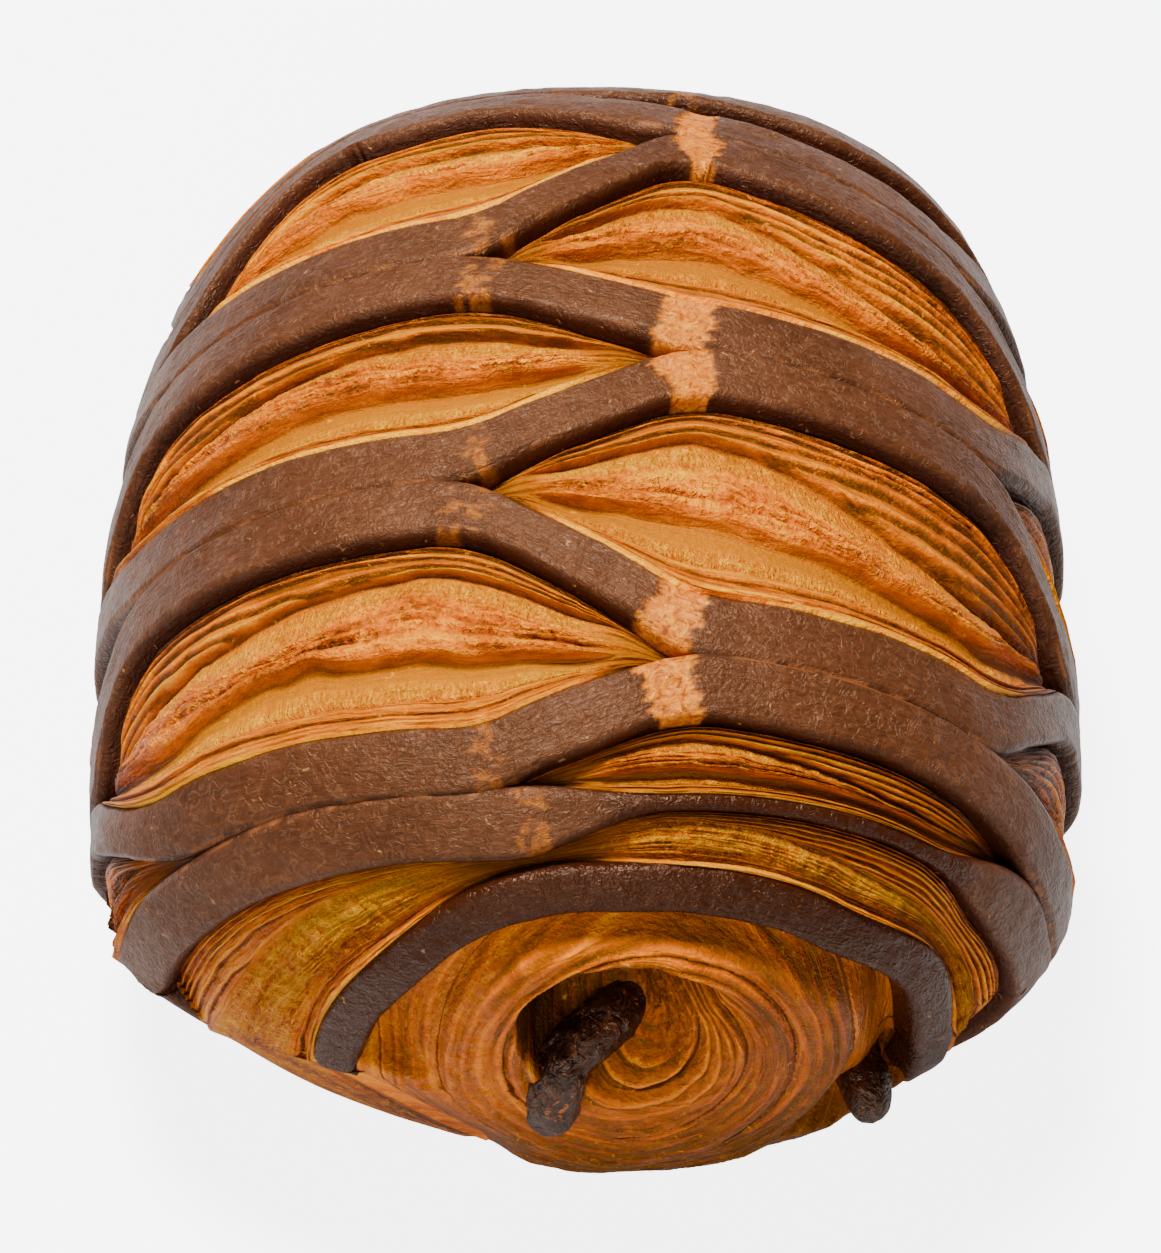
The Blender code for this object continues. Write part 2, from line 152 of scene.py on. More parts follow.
def wander(x, y, seed):
    """Soft random hills between -1 and 1, one unit of x or y to a hill."""
    table = np.random.default_rng(seed).uniform(-1, 1, (HILLS, HILLS))
    column, row = np.floor(x).astype(int), np.floor(y).astype(int)
    right, up = smooth(x - column, 0, 1), smooth(y - row, 0, 1)
    here, beside = column % HILLS, (column + 1) % HILLS
    low, high = (table[line % HILLS, here] * (1 - right) + table[line % HILLS, beside] * right
                 for line in (row, row + 1))
    return low * (1 - up) + high * up


def lay_surface(name, points, flat, masks):
    """A grid laid over rows of points, with its flat place as a UV map and its masks as attributes."""
    rows, columns = points.shape[:2]
    bpy.ops.object.select_all(action="DESELECT")
    bpy.ops.mesh.primitive_grid_add(x_subdivisions=columns - 1, y_subdivisions=rows - 1, size=1)
    piece = bpy.context.object
    piece.name = name
    mesh = piece.data
    mesh.name = name
    mesh.vertices.foreach_set("co", (points * MM).ravel())
    corners = np.empty(len(mesh.loops), int)
    mesh.loops.foreach_get("vertex_index", corners)
    flat = np.stack(np.broadcast_arrays(*flat), axis=-1).reshape(-1, 2) / UV_UNIT
    mesh.uv_layers.active.data.foreach_set("uv", flat[corners].ravel())
    for mask, values in masks.items():
        values = np.broadcast_to(values, (rows, columns))
        mesh.attributes.new(mask, "FLOAT", "POINT").data.foreach_set("value", values.ravel())
    return piece


def close_surface(piece):
    """Welds the seam and the poles, fills what is still open and turns the faces outwards."""
    bpy.ops.object.mode_set(mode="EDIT")
    bpy.ops.mesh.select_all(action="SELECT")
    bpy.ops.mesh.remove_doubles(threshold=WELD * MM)
    bpy.ops.mesh.fill_holes(sides=0)
    bpy.ops.mesh.normals_make_consistent(inside=False)
    bpy.ops.object.mode_set(mode="OBJECT")
    bpy.ops.object.shade_smooth()
    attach(piece, "root")


along, around = np.meshgrid(np.linspace(FRONT_END, BACK_END, CORE_ROWS),
                            np.linspace(0, GIRTH, CORE_COLUMNS), indexing="ij")
from_crown = np.minimum(around, GIRTH - around)
belly = smooth(from_crown, *UNDERSIDE_ROUND) * (1 - smooth(np.abs(along), *UNDERSIDE_ALONG))
height = CORE + (UNDERSIDE - CORE) * belly
height += 0.15 * wander(along / 6, from_crown / 6, CORE_SEED)
core_points = on_skin(along, around, height)
low = 1 - smooth(core_points[..., 2], *FOOT_HEIGHT)
reach = CORE_REACH + FOOT_REACH * smooth(from_crown, *FOOT_ROUND) * low
core_points[..., 1] = np.clip(core_points[..., 1], -reach, reach)
roll = lay_surface("folded_roll", core_points, (around, along), {})
close_surface(roll)
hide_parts("dough_roll")


def new_material(name, gloss=0.5, sheen=(1.0, 1.0, 1.0)):
    """A material, with how strongly its shader reflects and in what colour."""
    material = bpy.data.materials.new(name)
    material.use_nodes = True
    shader = material.node_tree.nodes["Principled BSDF"]
    shader.inputs["Specular IOR Level"].default_value = gloss
    shader.inputs["Specular Tint"].default_value = (*sheen, 1)
    return material, material.node_tree, shader


def add_node(tree, kind, settings=(), **values):
    """A node with its settings and its unlinked sockets' values. Underscores stand for spaces."""
    node = tree.nodes.new(kind)
    for setting, value in dict(settings).items():
        setattr(node, setting, value)
    for socket, value in values.items():
        node.inputs[socket.replace("_", " ")].default_value = value
    return node


def connect(tree, value, socket):
    """Puts a plain value, a colour or another node's output into a socket."""
    if isinstance(value, tuple):
        socket.default_value = (*value, 1) if len(socket.default_value) == 4 else value
    elif isinstance(value, (int, float)):
        socket.default_value = value
    else:
        tree.links.new(value, socket)


def maths(tree, operation, *values):
    node = add_node(tree, "ShaderNodeMath", {"operation": operation})
    for socket, value in zip(node.inputs, values):
        connect(tree, value, socket)
    return node.outputs[0]


def times(tree, value, factor):
    return maths(tree, "MULTIPLY", value, factor)


def scaled(tree, value, factor, offset):
    return maths(tree, "MULTIPLY_ADD", value, factor, offset)


def mix_colour(tree, share, first, second):
    node = add_node(tree, "ShaderNodeMix", {"data_type": "RGBA"})
    for socket, value in ((node.inputs[0], share), (node.inputs[6], first), (node.inputs[7], second)):
        connect(tree, value, socket)
    return node.outputs[2]


def tint(tree, colour, mask, strength, over):
    """Another colour over the first where a mask is high, at most this strong."""
    return mix_colour(tree, times(tree, mask, strength), colour, over)


def noise(tree, vector, scale, detail, roughness, distortion=0.0):
    """Noise on stretched coordinates: its scale gives the hills to a unit in each direction."""
    stretch = add_node(tree, "ShaderNodeMapping", Scale=scale)
    tree.links.new(vector, stretch.inputs["Vector"])
    node = add_node(tree, "ShaderNodeTexNoise", Scale=1.0, Detail=detail, Roughness=roughness,
                    Distortion=distortion)
    tree.links.new(stretch.outputs[0], node.inputs["Vector"])
    return node.outputs["Fac"]


def colour_ramp(tree, value, stops):
    ramp = tree.nodes.new("ShaderNodeValToRGB")
    elements = ramp.color_ramp.elements
    elements[0].position, elements[0].color = stops[0][0], (*stops[0][1], 1)
    elements[1].position, elements[1].color = stops[-1][0], (*stops[-1][1], 1)
    for position, colour in stops[1:-1]:
        elements.new(position).color = (*colour, 1)
    tree.links.new(value, ramp.inputs[0])
    return ramp.outputs[0]


def dress(tree, shader, colour, rough, relief, bump_strength, bump_height):
    """Joins a colour, a roughness and a relief to the shader."""
    bump = add_node(tree, "ShaderNodeBump", Strength=bump_strength, Distance=bump_height)
    tree.links.new(relief, bump.inputs["Height"])
    tree.links.new(bump.outputs[0], shader.inputs["Normal"])
    tree.links.new(colour, shader.inputs["Base Color"])
    connect(tree, rough, shader.inputs["Roughness"])


def crust_grain():
    """The fine grain, pale flakes and thin curled strokes that every baked surface here shows."""
    group = bpy.data.node_groups.new("crust_grain", "ShaderNodeTree")
    group.interface.new_socket("Flake Share", in_out="INPUT", socket_type="NodeSocketFloat")
    for output in ("Grain", "Flakes", "Strokes"):
        group.interface.new_socket(output, in_out="OUTPUT", socket_type="NodeSocketFloat")
    entry, leave = group.nodes.new("NodeGroupInput"), group.nodes.new("NodeGroupOutput")
    place = group.nodes.new("ShaderNodeTexCoord").outputs["Object"]
    group.links.new(noise(group, place, (2200.0,) * 3, 4.0, 0.62), leave.inputs["Grain"])

    speck = noise(group, place, (1500.0,) * 3, 1.0, 0.5, 0.8)
    cluster = noise(group, place, (160.0,) * 3, 2.0, 0.5)
    level = scaled(group, cluster, 0.25, speck)
    level = maths(group, "ADD", level, entry.outputs["Flake Share"])
    above = maths(group, "MAXIMUM", maths(group, "SUBTRACT", level, 0.86), 0.0)
    flakes = maths(group, "SMOOTH_MIN", times(group, above, 14.0), 1.0, 0.05)
    group.links.new(flakes, leave.inputs["Flakes"])

    curl = noise(group, place, (760.0,) * 3, 1.5, 0.5, 1.5)
    beside = maths(group, "ABSOLUTE", maths(group, "SUBTRACT", curl, 0.5))
    stroke = maths(group, "MAXIMUM", scaled(group, beside, -18.0, 1.0), 0.0)
    breaks = add_node(group, "ShaderNodeMapRange", From_Min=0.42, From_Max=0.55)
    group.links.new(noise(group, place, (1000.0,) * 3, 0.0, 0.5), breaks.inputs["Value"])
    group.links.new(times(group, stroke, breaks.outputs[0]), leave.inputs["Strokes"])
    return group


grain_group = crust_grain()


def crust(tree, flake_share):
    node = add_node(tree, "ShaderNodeGroup", {"node_tree": grain_group}, Flake_Share=flake_share)
    return node.outputs["Grain"], node.outputs["Flakes"], node.outputs["Strokes"]


DOUGH_STOPS = (
    (0.0, (0.68, 0.290, 0.001)),
    (0.14, (0.66, 0.235, 0.001)),
    (0.30, (0.62, 0.172, 0.001)),
    (0.46, (0.52, 0.106, 0.001)),
    (0.62, (0.36, 0.060, 0.001)),
    (0.80, (0.17, 0.027, 0.0015)),
    (1.0, (0.04, 0.008, 0.002)),
)
CRUST_SHEEN = (1.0, 0.38, 0.01)


def tray_dough():
    """The roll's underside, baked dry and evenly brown on the tray."""
    material, tree, shader = new_material("tray_browned_dough", sheen=CRUST_SHEEN)
    place = tree.nodes.new("ShaderNodeTexCoord").outputs["Object"]
    grain, _, _ = crust(tree, 0.0)
    cloud = noise(tree, place, (150.0, 90.0, 150.0), 4.0, 0.6, 0.5)
    colour = colour_ramp(tree, scaled(tree, grain, 0.45, cloud), DOUGH_STOPS)
    dress(tree, shader, colour, 0.6, maths(tree, "ADD", grain, cloud), 0.7, 0.0004)
    return material


roll.data.materials.append(tray_dough())

# ---------------------------------------------------------------------------------------------
# Opened layers. The cocoa skin is slit before baking, and the plain dough bursts through. Under
# each band the cut edges of the layers stand like a stack of paper. In front of them the pale
# crumb swells to a browned crest, then falls into a fold before the next band.
# ---------------------------------------------------------------------------------------------

BAND_WIDTH, PAIR_STEP = 5.6, 4.7
THIN_WIDTH, THIN_ROUND = 1.3, (-9.0, 8.0, 34.0, 48.0)
# At each swap, a distance round, the bands change partners. On an odd side bands 0 and 1, 2 and 3 and
# so on are joined, elsewhere 1 and 2, 3 and 4. The pairs and the lone bands lie this far along there.
SWAPS = (-80.0, -54.0, -41.0, -27.0, -9.3, 8.3, 36.0, 49.0, 80.0)
ODD_SIDE = (False, False, True, True, True, False, False, True, True)
PAIRS = (
    (17.0, -1.8, -20.5),
    (18.5, -1.8, -21.5),
    (20.8, 11.4, -10.6, -36.0),
    (38.5, 12.0, -11.2, -37.6),
    (40.8, 12.6, -12.2, -39.4),
    (31.0, 1.7, -28.3),
    (24.0, -0.6, -28.6),
    (29.0, 10.0, -14.0, -34.0),
    (25.0, 9.0, -13.0, -31.0),
)
LONE_BACK = (32.0, 34.0, 0.0, 0.0, 0.0, 42.5, 37.0, 0.0, 0.0)
LONE_FRONT = (-33.0, -36.5, 0.0, 0.0, 0.0, -39.9, -38.2, 0.0, 0.0)
LATTICE_BANDS = 8
CORNER = 2.8              # a band's corner is rounded off this far to either side
NARROWING = 0.7           # how much a band narrows where it leans
END_ARC_ROUND = (-62.0, -37.0, 0.0, 30.0, 48.0, 57.0, 70.0)
FRONT_ARC_ALONG = (-48.6, -49.2, -46.7, -46.0, -44.1, -44.4, -41.5)
BACK_ARC_ALONG = (46.0, 49.0, 49.5, 48.5, 47.0, 46.0, 45.0)
END_ARC_WIDTH = 3.8
FRONT_ARC_SPAN, BACK_ARC_SPAN = (-60.0, 69.0), (-60.0, 60.0)


def ease(value, stations, levels):
    """Smooth steps from level to level, flat at each station."""
    value = np.clip(value, stations[0], stations[-1])
    place = np.clip(np.searchsorted(stations, value, side="right") - 1, 0, len(stations) - 2)
    start, stop = np.take(stations, place), np.take(stations, place + 1)
    share = smooth(value, start, stop)
    return np.take(levels, place) * (1 - share) + np.take(levels, place + 1) * share


def bend(value, stations, levels):
    """Straight runs from level to level, with the corners rounded off."""
    nearby = np.linspace(-CORNER, CORNER, 7)
    return np.mean([np.interp(value + step, stations, levels) for step in nearby], axis=0)


def band_levels(band):
    """Where one lattice band lies along the roll at each swap. Band 0 is the back one."""
    levels = []
    for odd, pairs, back, front in zip(ODD_SIDE, PAIRS, LONE_BACK, LONE_FRONT):
        pair, second = divmod(band if odd else band - 1, 2)
        if pair < 0:
            levels.append(back)
        elif pair >= len(pairs):
            levels.append(front)
        else:
            levels.append(pairs[pair] + PAIR_STEP * (0.5 - second))
    return levels


def band_width(band, around):
    """The last band thins out on its right, where the opening in front of it has stretched it."""
    if band < LATTICE_BANDS - 1:
        return np.full_like(around, BAND_WIDTH)
    return ease(around, THIN_ROUND, (BAND_WIDTH, THIN_WIDTH, THIN_WIDTH, BAND_WIDTH))


def band_lines():
    """Every cocoa band from back to front: where it lies along the roll, and its width there."""
    arc_width = lambda around: np.full_like(around, END_ARC_WIDTH)
    lines = [(lambda around: ease(around, END_ARC_ROUND, BACK_ARC_ALONG), arc_width)]
    for band in range(LATTICE_BANDS):
        lines.append((lambda around, k=band: bend(around, SWAPS, band_levels(k)),
                      lambda around, k=band: band_width(k, around)))
    return lines + [(lambda around: ease(around, END_ARC_ROUND, FRONT_ARC_ALONG), arc_width)]


LINES = band_lines()
FRONT_STRIP = len(LINES) - 2


def line_and_step(line, around):
    """A band's centre line, its lean, and one millimetre across it, less where the band is stretched."""
    along = line(around)
    lean = (line(around + NUDGE) - line(around - NUDGE)) / (2 * NUDGE)
    _, forward, sideways, _ = skin_frame(along, around)
    run = forward * lean[..., None] + sideways
    step_along = np.sum(run * sideways, axis=-1)
    step_round = -np.sum(run * forward, axis=-1)
    length = np.linalg.norm(forward * step_along[..., None] + sideways * step_round[..., None], axis=-1)
    narrow = (1 + lean ** 2) ** NARROWING
    return along, lean, step_along / length / narrow, step_round / length / narrow


def band_reach(line, width, around):
    """A band's middle, and how far either edge lies from it along the roll."""
    along, lean, step_along, step_round = line_and_step(line, around)
    return along, width(around) / 2 * np.abs(step_along - lean * step_round)


# Across an opening, from the band behind it (0) to the band in front (1), each crease and lip has a
# resting place. Along the opening they wander from it, and towards its sides they shift forwards.
CREASES = (0.0, 0.07, 0.15, 0.37, 0.596, 0.86, 0.94, 1.0)
WANDERS = (0.0, 0.012, 0.028, 0.06, 0.045, 0.02, 0.01, 0.0)
SIDE_SHIFTS = (0.0, 0.12, 0.36, 0.28, 0.15, 0.03, 0.01, 0.0)
# Place, height over the skin, then how browned, moist, fibrous and blistered the dough is there. In the wide
# opening the darkest browning, at the foot of the band behind and in the folds at 0.152, 0.606 and 0.856, is
# painted shade.
WIDE_OPENING = (
    (0, -2.3, 1, 0, 0, 0), (0.02, -1.9, 0.85, 0.1, 0, 0), (0.06, -1.7, 0.52, 0.2, 0, 0),
    (0.1, -1.8, 0.32, 0.5, 0, 0), (0.145, -1.8, 0.2, 0.6, 0, 0), (0.152, -2.7, 0.92, 0.3, 0, 0),
    (0.17, -2.7, 0.5, 0.5, 0.4, 0), (0.21, -2.35, 0.16, 0.2, 1, 0), (0.29, -1.85, 0.12, 0, 1, 0.2),
    (0.36, -1.4, 0.26, 0, 0.7, 0.5), (0.375, -1.55, 0.48, 0, 0.2, 0.8), (0.425, -1, 0.36, 0, 0.1, 1),
    (0.44, -1.2, 0.58, 0, 0.1, 1), (0.48, -0.85, 0.46, 0, 0.1, 1), (0.5, -1.15, 0.66, 0, 0, 1),
    (0.55, -0.75, 0.5, 0, 0.1, 1), (0.58, -0.8, 0.58, 0, 0, 0.7), (0.596, -1.2, 0.5, 0.2, 0, 0.2),
    (0.606, -2.1, 0.74, 0.4, 0, 0), (0.63, -2.3, 0.42, 1, 0, 0), (0.7, -2.2, 0.26, 1, 0.2, 0),
    (0.73, -2, 0.2, 0.6, 0.7, 0), (0.77, -1.75, 0.12, 0.1, 1, 0.2), (0.83, -1.5, 0.14, 0, 1, 0.2),
    (0.856, -1.6, 0.5, 0.1, 0.4, 0), (0.868, -0.95, 0.04, 0.1, 0, 0), (0.885, -0.85, 0.26, 0.3, 0, 0),
    (0.93, -0.7, 0.44, 0.3, 0, 0), (0.96, -0.5, 0.56, 0, 0, 0), (0.98, -0.12, 0.12, 0, 0, 0),
    (1, -0.1, 0.1, 0, 0, 0),
)
SMOOTH_OPENING = (
    (0, -2, 0.66, 0, 0, 0), (0.03, -1.7, 0.34, 0.2, 0, 0), (0.1, -1.5, 0.2, 0.3, 0.2, 0),
    (0.18, -1.4, 0.34, 0.1, 0.3, 0.3), (0.22, -1.5, 0.12, 0, 1, 0.3), (0.4, -0.9, 0.09, 0, 1, 0.6),
    (0.6, -0.7, 0.12, 0, 1, 0.8), (0.78, -0.8, 0.22, 0, 0.8, 0.9), (0.86, -1.1, 0.36, 0, 0.3, 0.8),
    (0.9, -1.3, 0.5, 0, 0, 0.4), (0.95, -0.9, 0.36, 0, 0, 0.3), (0.98, -0.15, 0.16, 0, 0, 0),
    (1, -0.15, 0.1, 0, 0, 0),
)
WIDE_SPREAD, NARROW_SPREAD = (4.0, 9.0), (1.5, 4.5)    # widths between which an opening opens up
# Sheets in the stack at the far edge, more of them at the sides, at the near edge, and where it closes.
FAR_SHEETS, SIDE_SHEETS, NEAR_SHEETS, CLOSED_SHEETS = 3.2, 3.2, 2.2, 6.0
FAR_STACK_END, NEAR_STACK = 0.15, 0.865
# SHEET_LIP and SHEET_LINE place each sheet's painted highlight and its line of painted shade.
SHEET_FALL, SHEET_LIP, SHEET_LINE = (0.62, 0.95), (0.6, 0.15), (0.9, 0.13)
STACK_ROWS, CRUMB_ROWS, LIP_ROWS, COVER_ROWS, STRIP_COLUMNS = 52, 66, 30, 5, 400
STRIP_END, STRIP_ROOT = 82.0, CORE - 1.5
FLAT_WIDTH = 18.0         # how wide an opening is on its UV map
STRIP_SEED = 40
# Distances round: where a strip turns to its sides, and where its leaves, its colour and it fade out.
TO_RIGHT, TO_LEFT, LEFT_SHARE = (6.0, 36.0), (16.0, 50.0), 0.6
SIDES, LEAVES_END, FOOT_BROWN, FOOT_END = (24.0, 60.0), (54.0, 64.0), (54.0, 72.0), (72.0, 80.0)
LEFT_SWELL, LEFT_LEVEL = (44.0, 60.0), 0.4             # the front strip's left foot, beside the arc
TIP_START, TIP_FULL, TIP_LEVEL, TIP_UNDER = 2.8, 0.4, -0.3, -0.5


def profiles(opening, rows):
    """The opening's levels at each row, with their corners rounded a little."""
    stations = np.array(opening)
    fine = np.linspace(0, 1, 801)
    window = np.hanning(11) / np.hanning(11).sum()
    columns = []
    for levels in stations.T[1:]:
        curve = np.interp(fine, stations[:, 0], levels)
        curve = np.convolve(np.pad(curve, 5, mode="edge"), window, mode="valid")
        columns.append(np.interp(rows, fine, curve)[:, None])
    return columns


def streaks(x, y, seed):
    """Fine lines that run along x, between 0 and 1, sharp where they are high."""
    coarse = 1 - np.abs(wander(x, y, seed))
    fine = 1 - np.abs(wander(x * 1.7 + 9, y * 2.3 + 5, seed + 1))
    return 0.62 * coarse ** 2 + 0.38 * fine ** 2


def sheet_steps(ply, around, seed):
    """A stack of thin sheets: each one's step down, its lip's edge where a highlight is painted, the line
    under it where shade is painted, and its tone.
    """
    ply = ply + 0.35 * wander(around / 11, ply * 0.6, seed) + 0.1 * wander(around / 2.5, ply, seed + 1)
    place = np.mod(ply, 1)
    sheet = np.floor(ply)
    step = place - smooth(place, *SHEET_FALL)
    edge, line = (np.exp(-((place - middle) / spread) ** 2) for middle, spread in (SHEET_LIP, SHEET_LINE))
    tone = wander(sheet * 7.3 + around / 30, sheet * 3.1, seed + 2)
    return step, edge, line, tone


def past_span(around, span):
    """How far a place is past a cocoa arc's ends, where bare dough closes round them, 0 to 1."""
    if span is None:
        return 0 * around
    right = smooth(around, span[1] - TIP_START, span[1] - TIP_FULL)
    left = smooth(-around, -TIP_START - span[0], -TIP_FULL - span[0])
    return np.maximum(right, left)


def open_gap(number, far, near, opening, spread, arc_spans):
    """One closed strip of opened layers, from the middle of one band to the middle of the next."""
    round_row = np.linspace(-STRIP_END, STRIP_END, STRIP_COLUMNS)
    far_line, far_reach = band_reach(*far, round_row)
    near_line, near_reach = band_reach(*near, round_row)
    middle = (far_line + near_line) / 2
    far_edge = np.maximum(far_line - far_reach, middle)
    near_edge = np.minimum(near_line + near_reach, middle)
    cover = np.linspace(0, 1, COVER_ROWS + 1)[:-1, None]
    rows = np.concatenate([np.linspace(0, 0.2, STACK_ROWS)[:-1], np.linspace(0.2, 0.85, CRUMB_ROWS)[:-1],
                           np.linspace(0.85, 1, LIP_ROWS)])
    seed = STRIP_SEED + 100 * number
    to_side = smooth(round_row, *TO_RIGHT) + LEFT_SHARE * smooth(-round_row, *TO_LEFT)
    places = []
    for crease, (rest, much, shift) in enumerate(zip(CREASES, WANDERS, SIDE_SHIFTS)):
        lane = np.full_like(round_row, 9 * crease)
        sway = wander(round_row / 13, lane, seed) + 0.35 * wander(round_row / 2.2, lane, seed + 1)
        places.append(rest + shift * to_side + much * sway)
    places = np.array(places)
    segment = np.clip(np.searchsorted(CREASES, rows, side="right") - 1, 0, len(CREASES) - 2)
    start = np.take(CREASES, segment)
    part = ((rows - start) / (np.take(CREASES, segment + 1) - start))[:, None]
    across = places[segment] * (1 - part) + places[segment + 1] * part
    along = np.concatenate([far_line + (far_edge - far_line) * cover,
                            far_edge + (near_edge - far_edge) * across,
                            near_line + (near_edge - near_line) * cover[::-1]])
    row, width, around = np.broadcast_arrays(rows[:, None], far_edge - near_edge, round_row)

    height, brown_and_painted_light, wet, fibre, blister = (level + 0 * around for level in profiles(opening, rows))
    lens = smooth(width, *spread)
    to_table = np.abs(around)
    side, leaves = smooth(to_table, *SIDES), 1 - smooth(to_table, *LEAVES_END)
    # Where the opening closes to its tips, all its layers lie side by side like the leaves of a book.
    step, edge, line, tone = sheet_steps(row * CLOSED_SHEETS, around, seed + 2)
    # Each leaf's lip edge is painted paler as a highlight, and the line under it darker as painted shade.
    closed_brown_and_painted_light = 0.46 + 0.26 * tone - 0.2 * edge + 0.4 * line + 0.12 * side
    closed_height = -1.7 - 0.5 * (2 * row - 1) ** 2 + 0.35 * step * leaves + 1.6 * smooth(row, 0.88, 0.97)
    height = closed_height + (height - 0.35 * side * blister - closed_height) * lens
    brown_and_painted_light = closed_brown_and_painted_light + (brown_and_painted_light - closed_brown_and_painted_light) * lens
    wet = wet * lens + 0.6 * (1 - lens) * (1 - side) * smooth(row, 0.05, 0.3)
    fibre, blister = fibre * lens, blister * lens

    far_stack = (1 - smooth(row, FAR_STACK_END - 0.005, FAR_STACK_END + 0.002)) * lens
    near_stack = 0.55 * smooth(row, NEAR_STACK, NEAR_STACK + 0.01) * lens
    far_ply = (row / FAR_STACK_END) ** 0.8 * (FAR_SHEETS + SIDE_SHEETS * to_side)
    near_ply = (row - NEAR_STACK) / (1 - NEAR_STACK) * NEAR_SHEETS
    for stack, ply, salt in ((far_stack, far_ply, 4), (near_stack, near_ply, 8)):
        step, edge, line, tone = sheet_steps(ply, around, seed + salt)
        height += stack * (0.5 + 0.5 * to_side) * step * leaves
        # Lip edges get a painted highlight and the lines under the lips painted shade.
        brown_and_painted_light += stack * (0.12 + 0.3 * tone - 0.24 * edge + 0.8 * line)
        wet *= 1 - 0.5 * stack * (edge + line)

    grain = streaks(around / 6.5, row * 24, seed + 12)
    down = row * width
    torn = wander(around / 2.2, down / 1.1, seed + 14) + 0.6 * wander(around / 0.9, down / 0.5, seed + 15)
    cross = wander(around / 0.8, down / 2.4, seed + 18) + 0.6 * wander(around / 0.4, down / 1.2, seed + 19)
    height += (0.14 + 0.36 * blister) * (grain - 0.45) + 0.2 * blister * torn + 0.12 * fibre * cross
    brown_and_painted_light += 0.2 * blister * wander(around / 7, row * 9, seed + 16) + 0.4 * (0.25 + blister) * (0.5 - grain)
    brown_and_painted_light += 0.1 * blister * torn + 0.1 * wander(around / 12, row * 4, seed + 17) - 0.07 * fibre * cross
    brown_and_painted_light += (0.3 * smooth(to_table, *FOOT_BROWN) + side * (0.06 + 0.06 * fibre)
              + (0.05 + 0.08 * smooth(around, -12, 12)) * fibre)
    wet *= 1 - 0.6 * side

    height = BED + (height - BED) * (smooth(width, 0.3, 5) * (1 - smooth(to_table, *FOOT_END)))
    if number == FRONT_STRIP:
        swell = (LEFT_LEVEL - height) * smooth(-around, *LEFT_SWELL)
        height += swell * smooth(row, 0.02, 0.2) * (1 - smooth(row, 0.8, 1))
    open_ends = [past_span(round_row, span) for span in arc_spans]
    height += (TIP_LEVEL - height) * (open_ends[0] * (1 - row) + open_ends[1] * row)
    under = [np.broadcast_to(BED + (TIP_UNDER - BED) * past_end, (COVER_ROWS, STRIP_COLUMNS))
             for past_end in open_ends]
    height = np.concatenate([under[0], height, under[1]])

    cover_ends = lambda values: np.concatenate([values[:1].repeat(COVER_ROWS, 0), values,
                                                values[-1:].repeat(COVER_ROWS, 0)])
    close = lambda values: np.concatenate([cover_ends(values), values[-1:], values[:1], values[:1]])
    top = on_skin(along, cover_ends(around), height)
    bottom = [on_skin(line, round_row, np.full_like(line, STRIP_ROOT))[None]
              for line in (near_line, far_line)]
    points = np.concatenate([top] + bottom + [top[:1]])
    masks = {"brown_and_painted_light": np.clip(brown_and_painted_light, 0, 1), "wet": np.clip(wet, 0, 1), "fibre": fibre, "blister": blister}
    strip = lay_surface(f"opened_layers_{number}", points, (close(around), close(row * FLAT_WIDTH)),
                        {mask: close(values) for mask, values in masks.items()})
    close_surface(strip)
    return strip


opened = []
for number, (far, near) in enumerate(zip(LINES, LINES[1:])):
    opening = SMOOTH_OPENING if number == FRONT_STRIP else WIDE_OPENING
    spread = NARROW_SPREAD if number >= FRONT_STRIP - 1 else WIDE_SPREAD
    arc_spans = (BACK_ARC_SPAN if number == 0 else None, FRONT_ARC_SPAN if number == FRONT_STRIP else None)
    opened.append(open_gap(number, far, near, opening, spread, arc_spans))


MOIST_COLOUR, STROKE_COLOUR, FLAKE_COLOUR = (0.23, 0.074, 0.0002), (0.95, 0.41, 0.010), (0.80, 0.29, 0.008)


def mask_of(tree, name):
    return add_node(tree, "ShaderNodeAttribute", {"attribute_name": name}).outputs["Fac"]


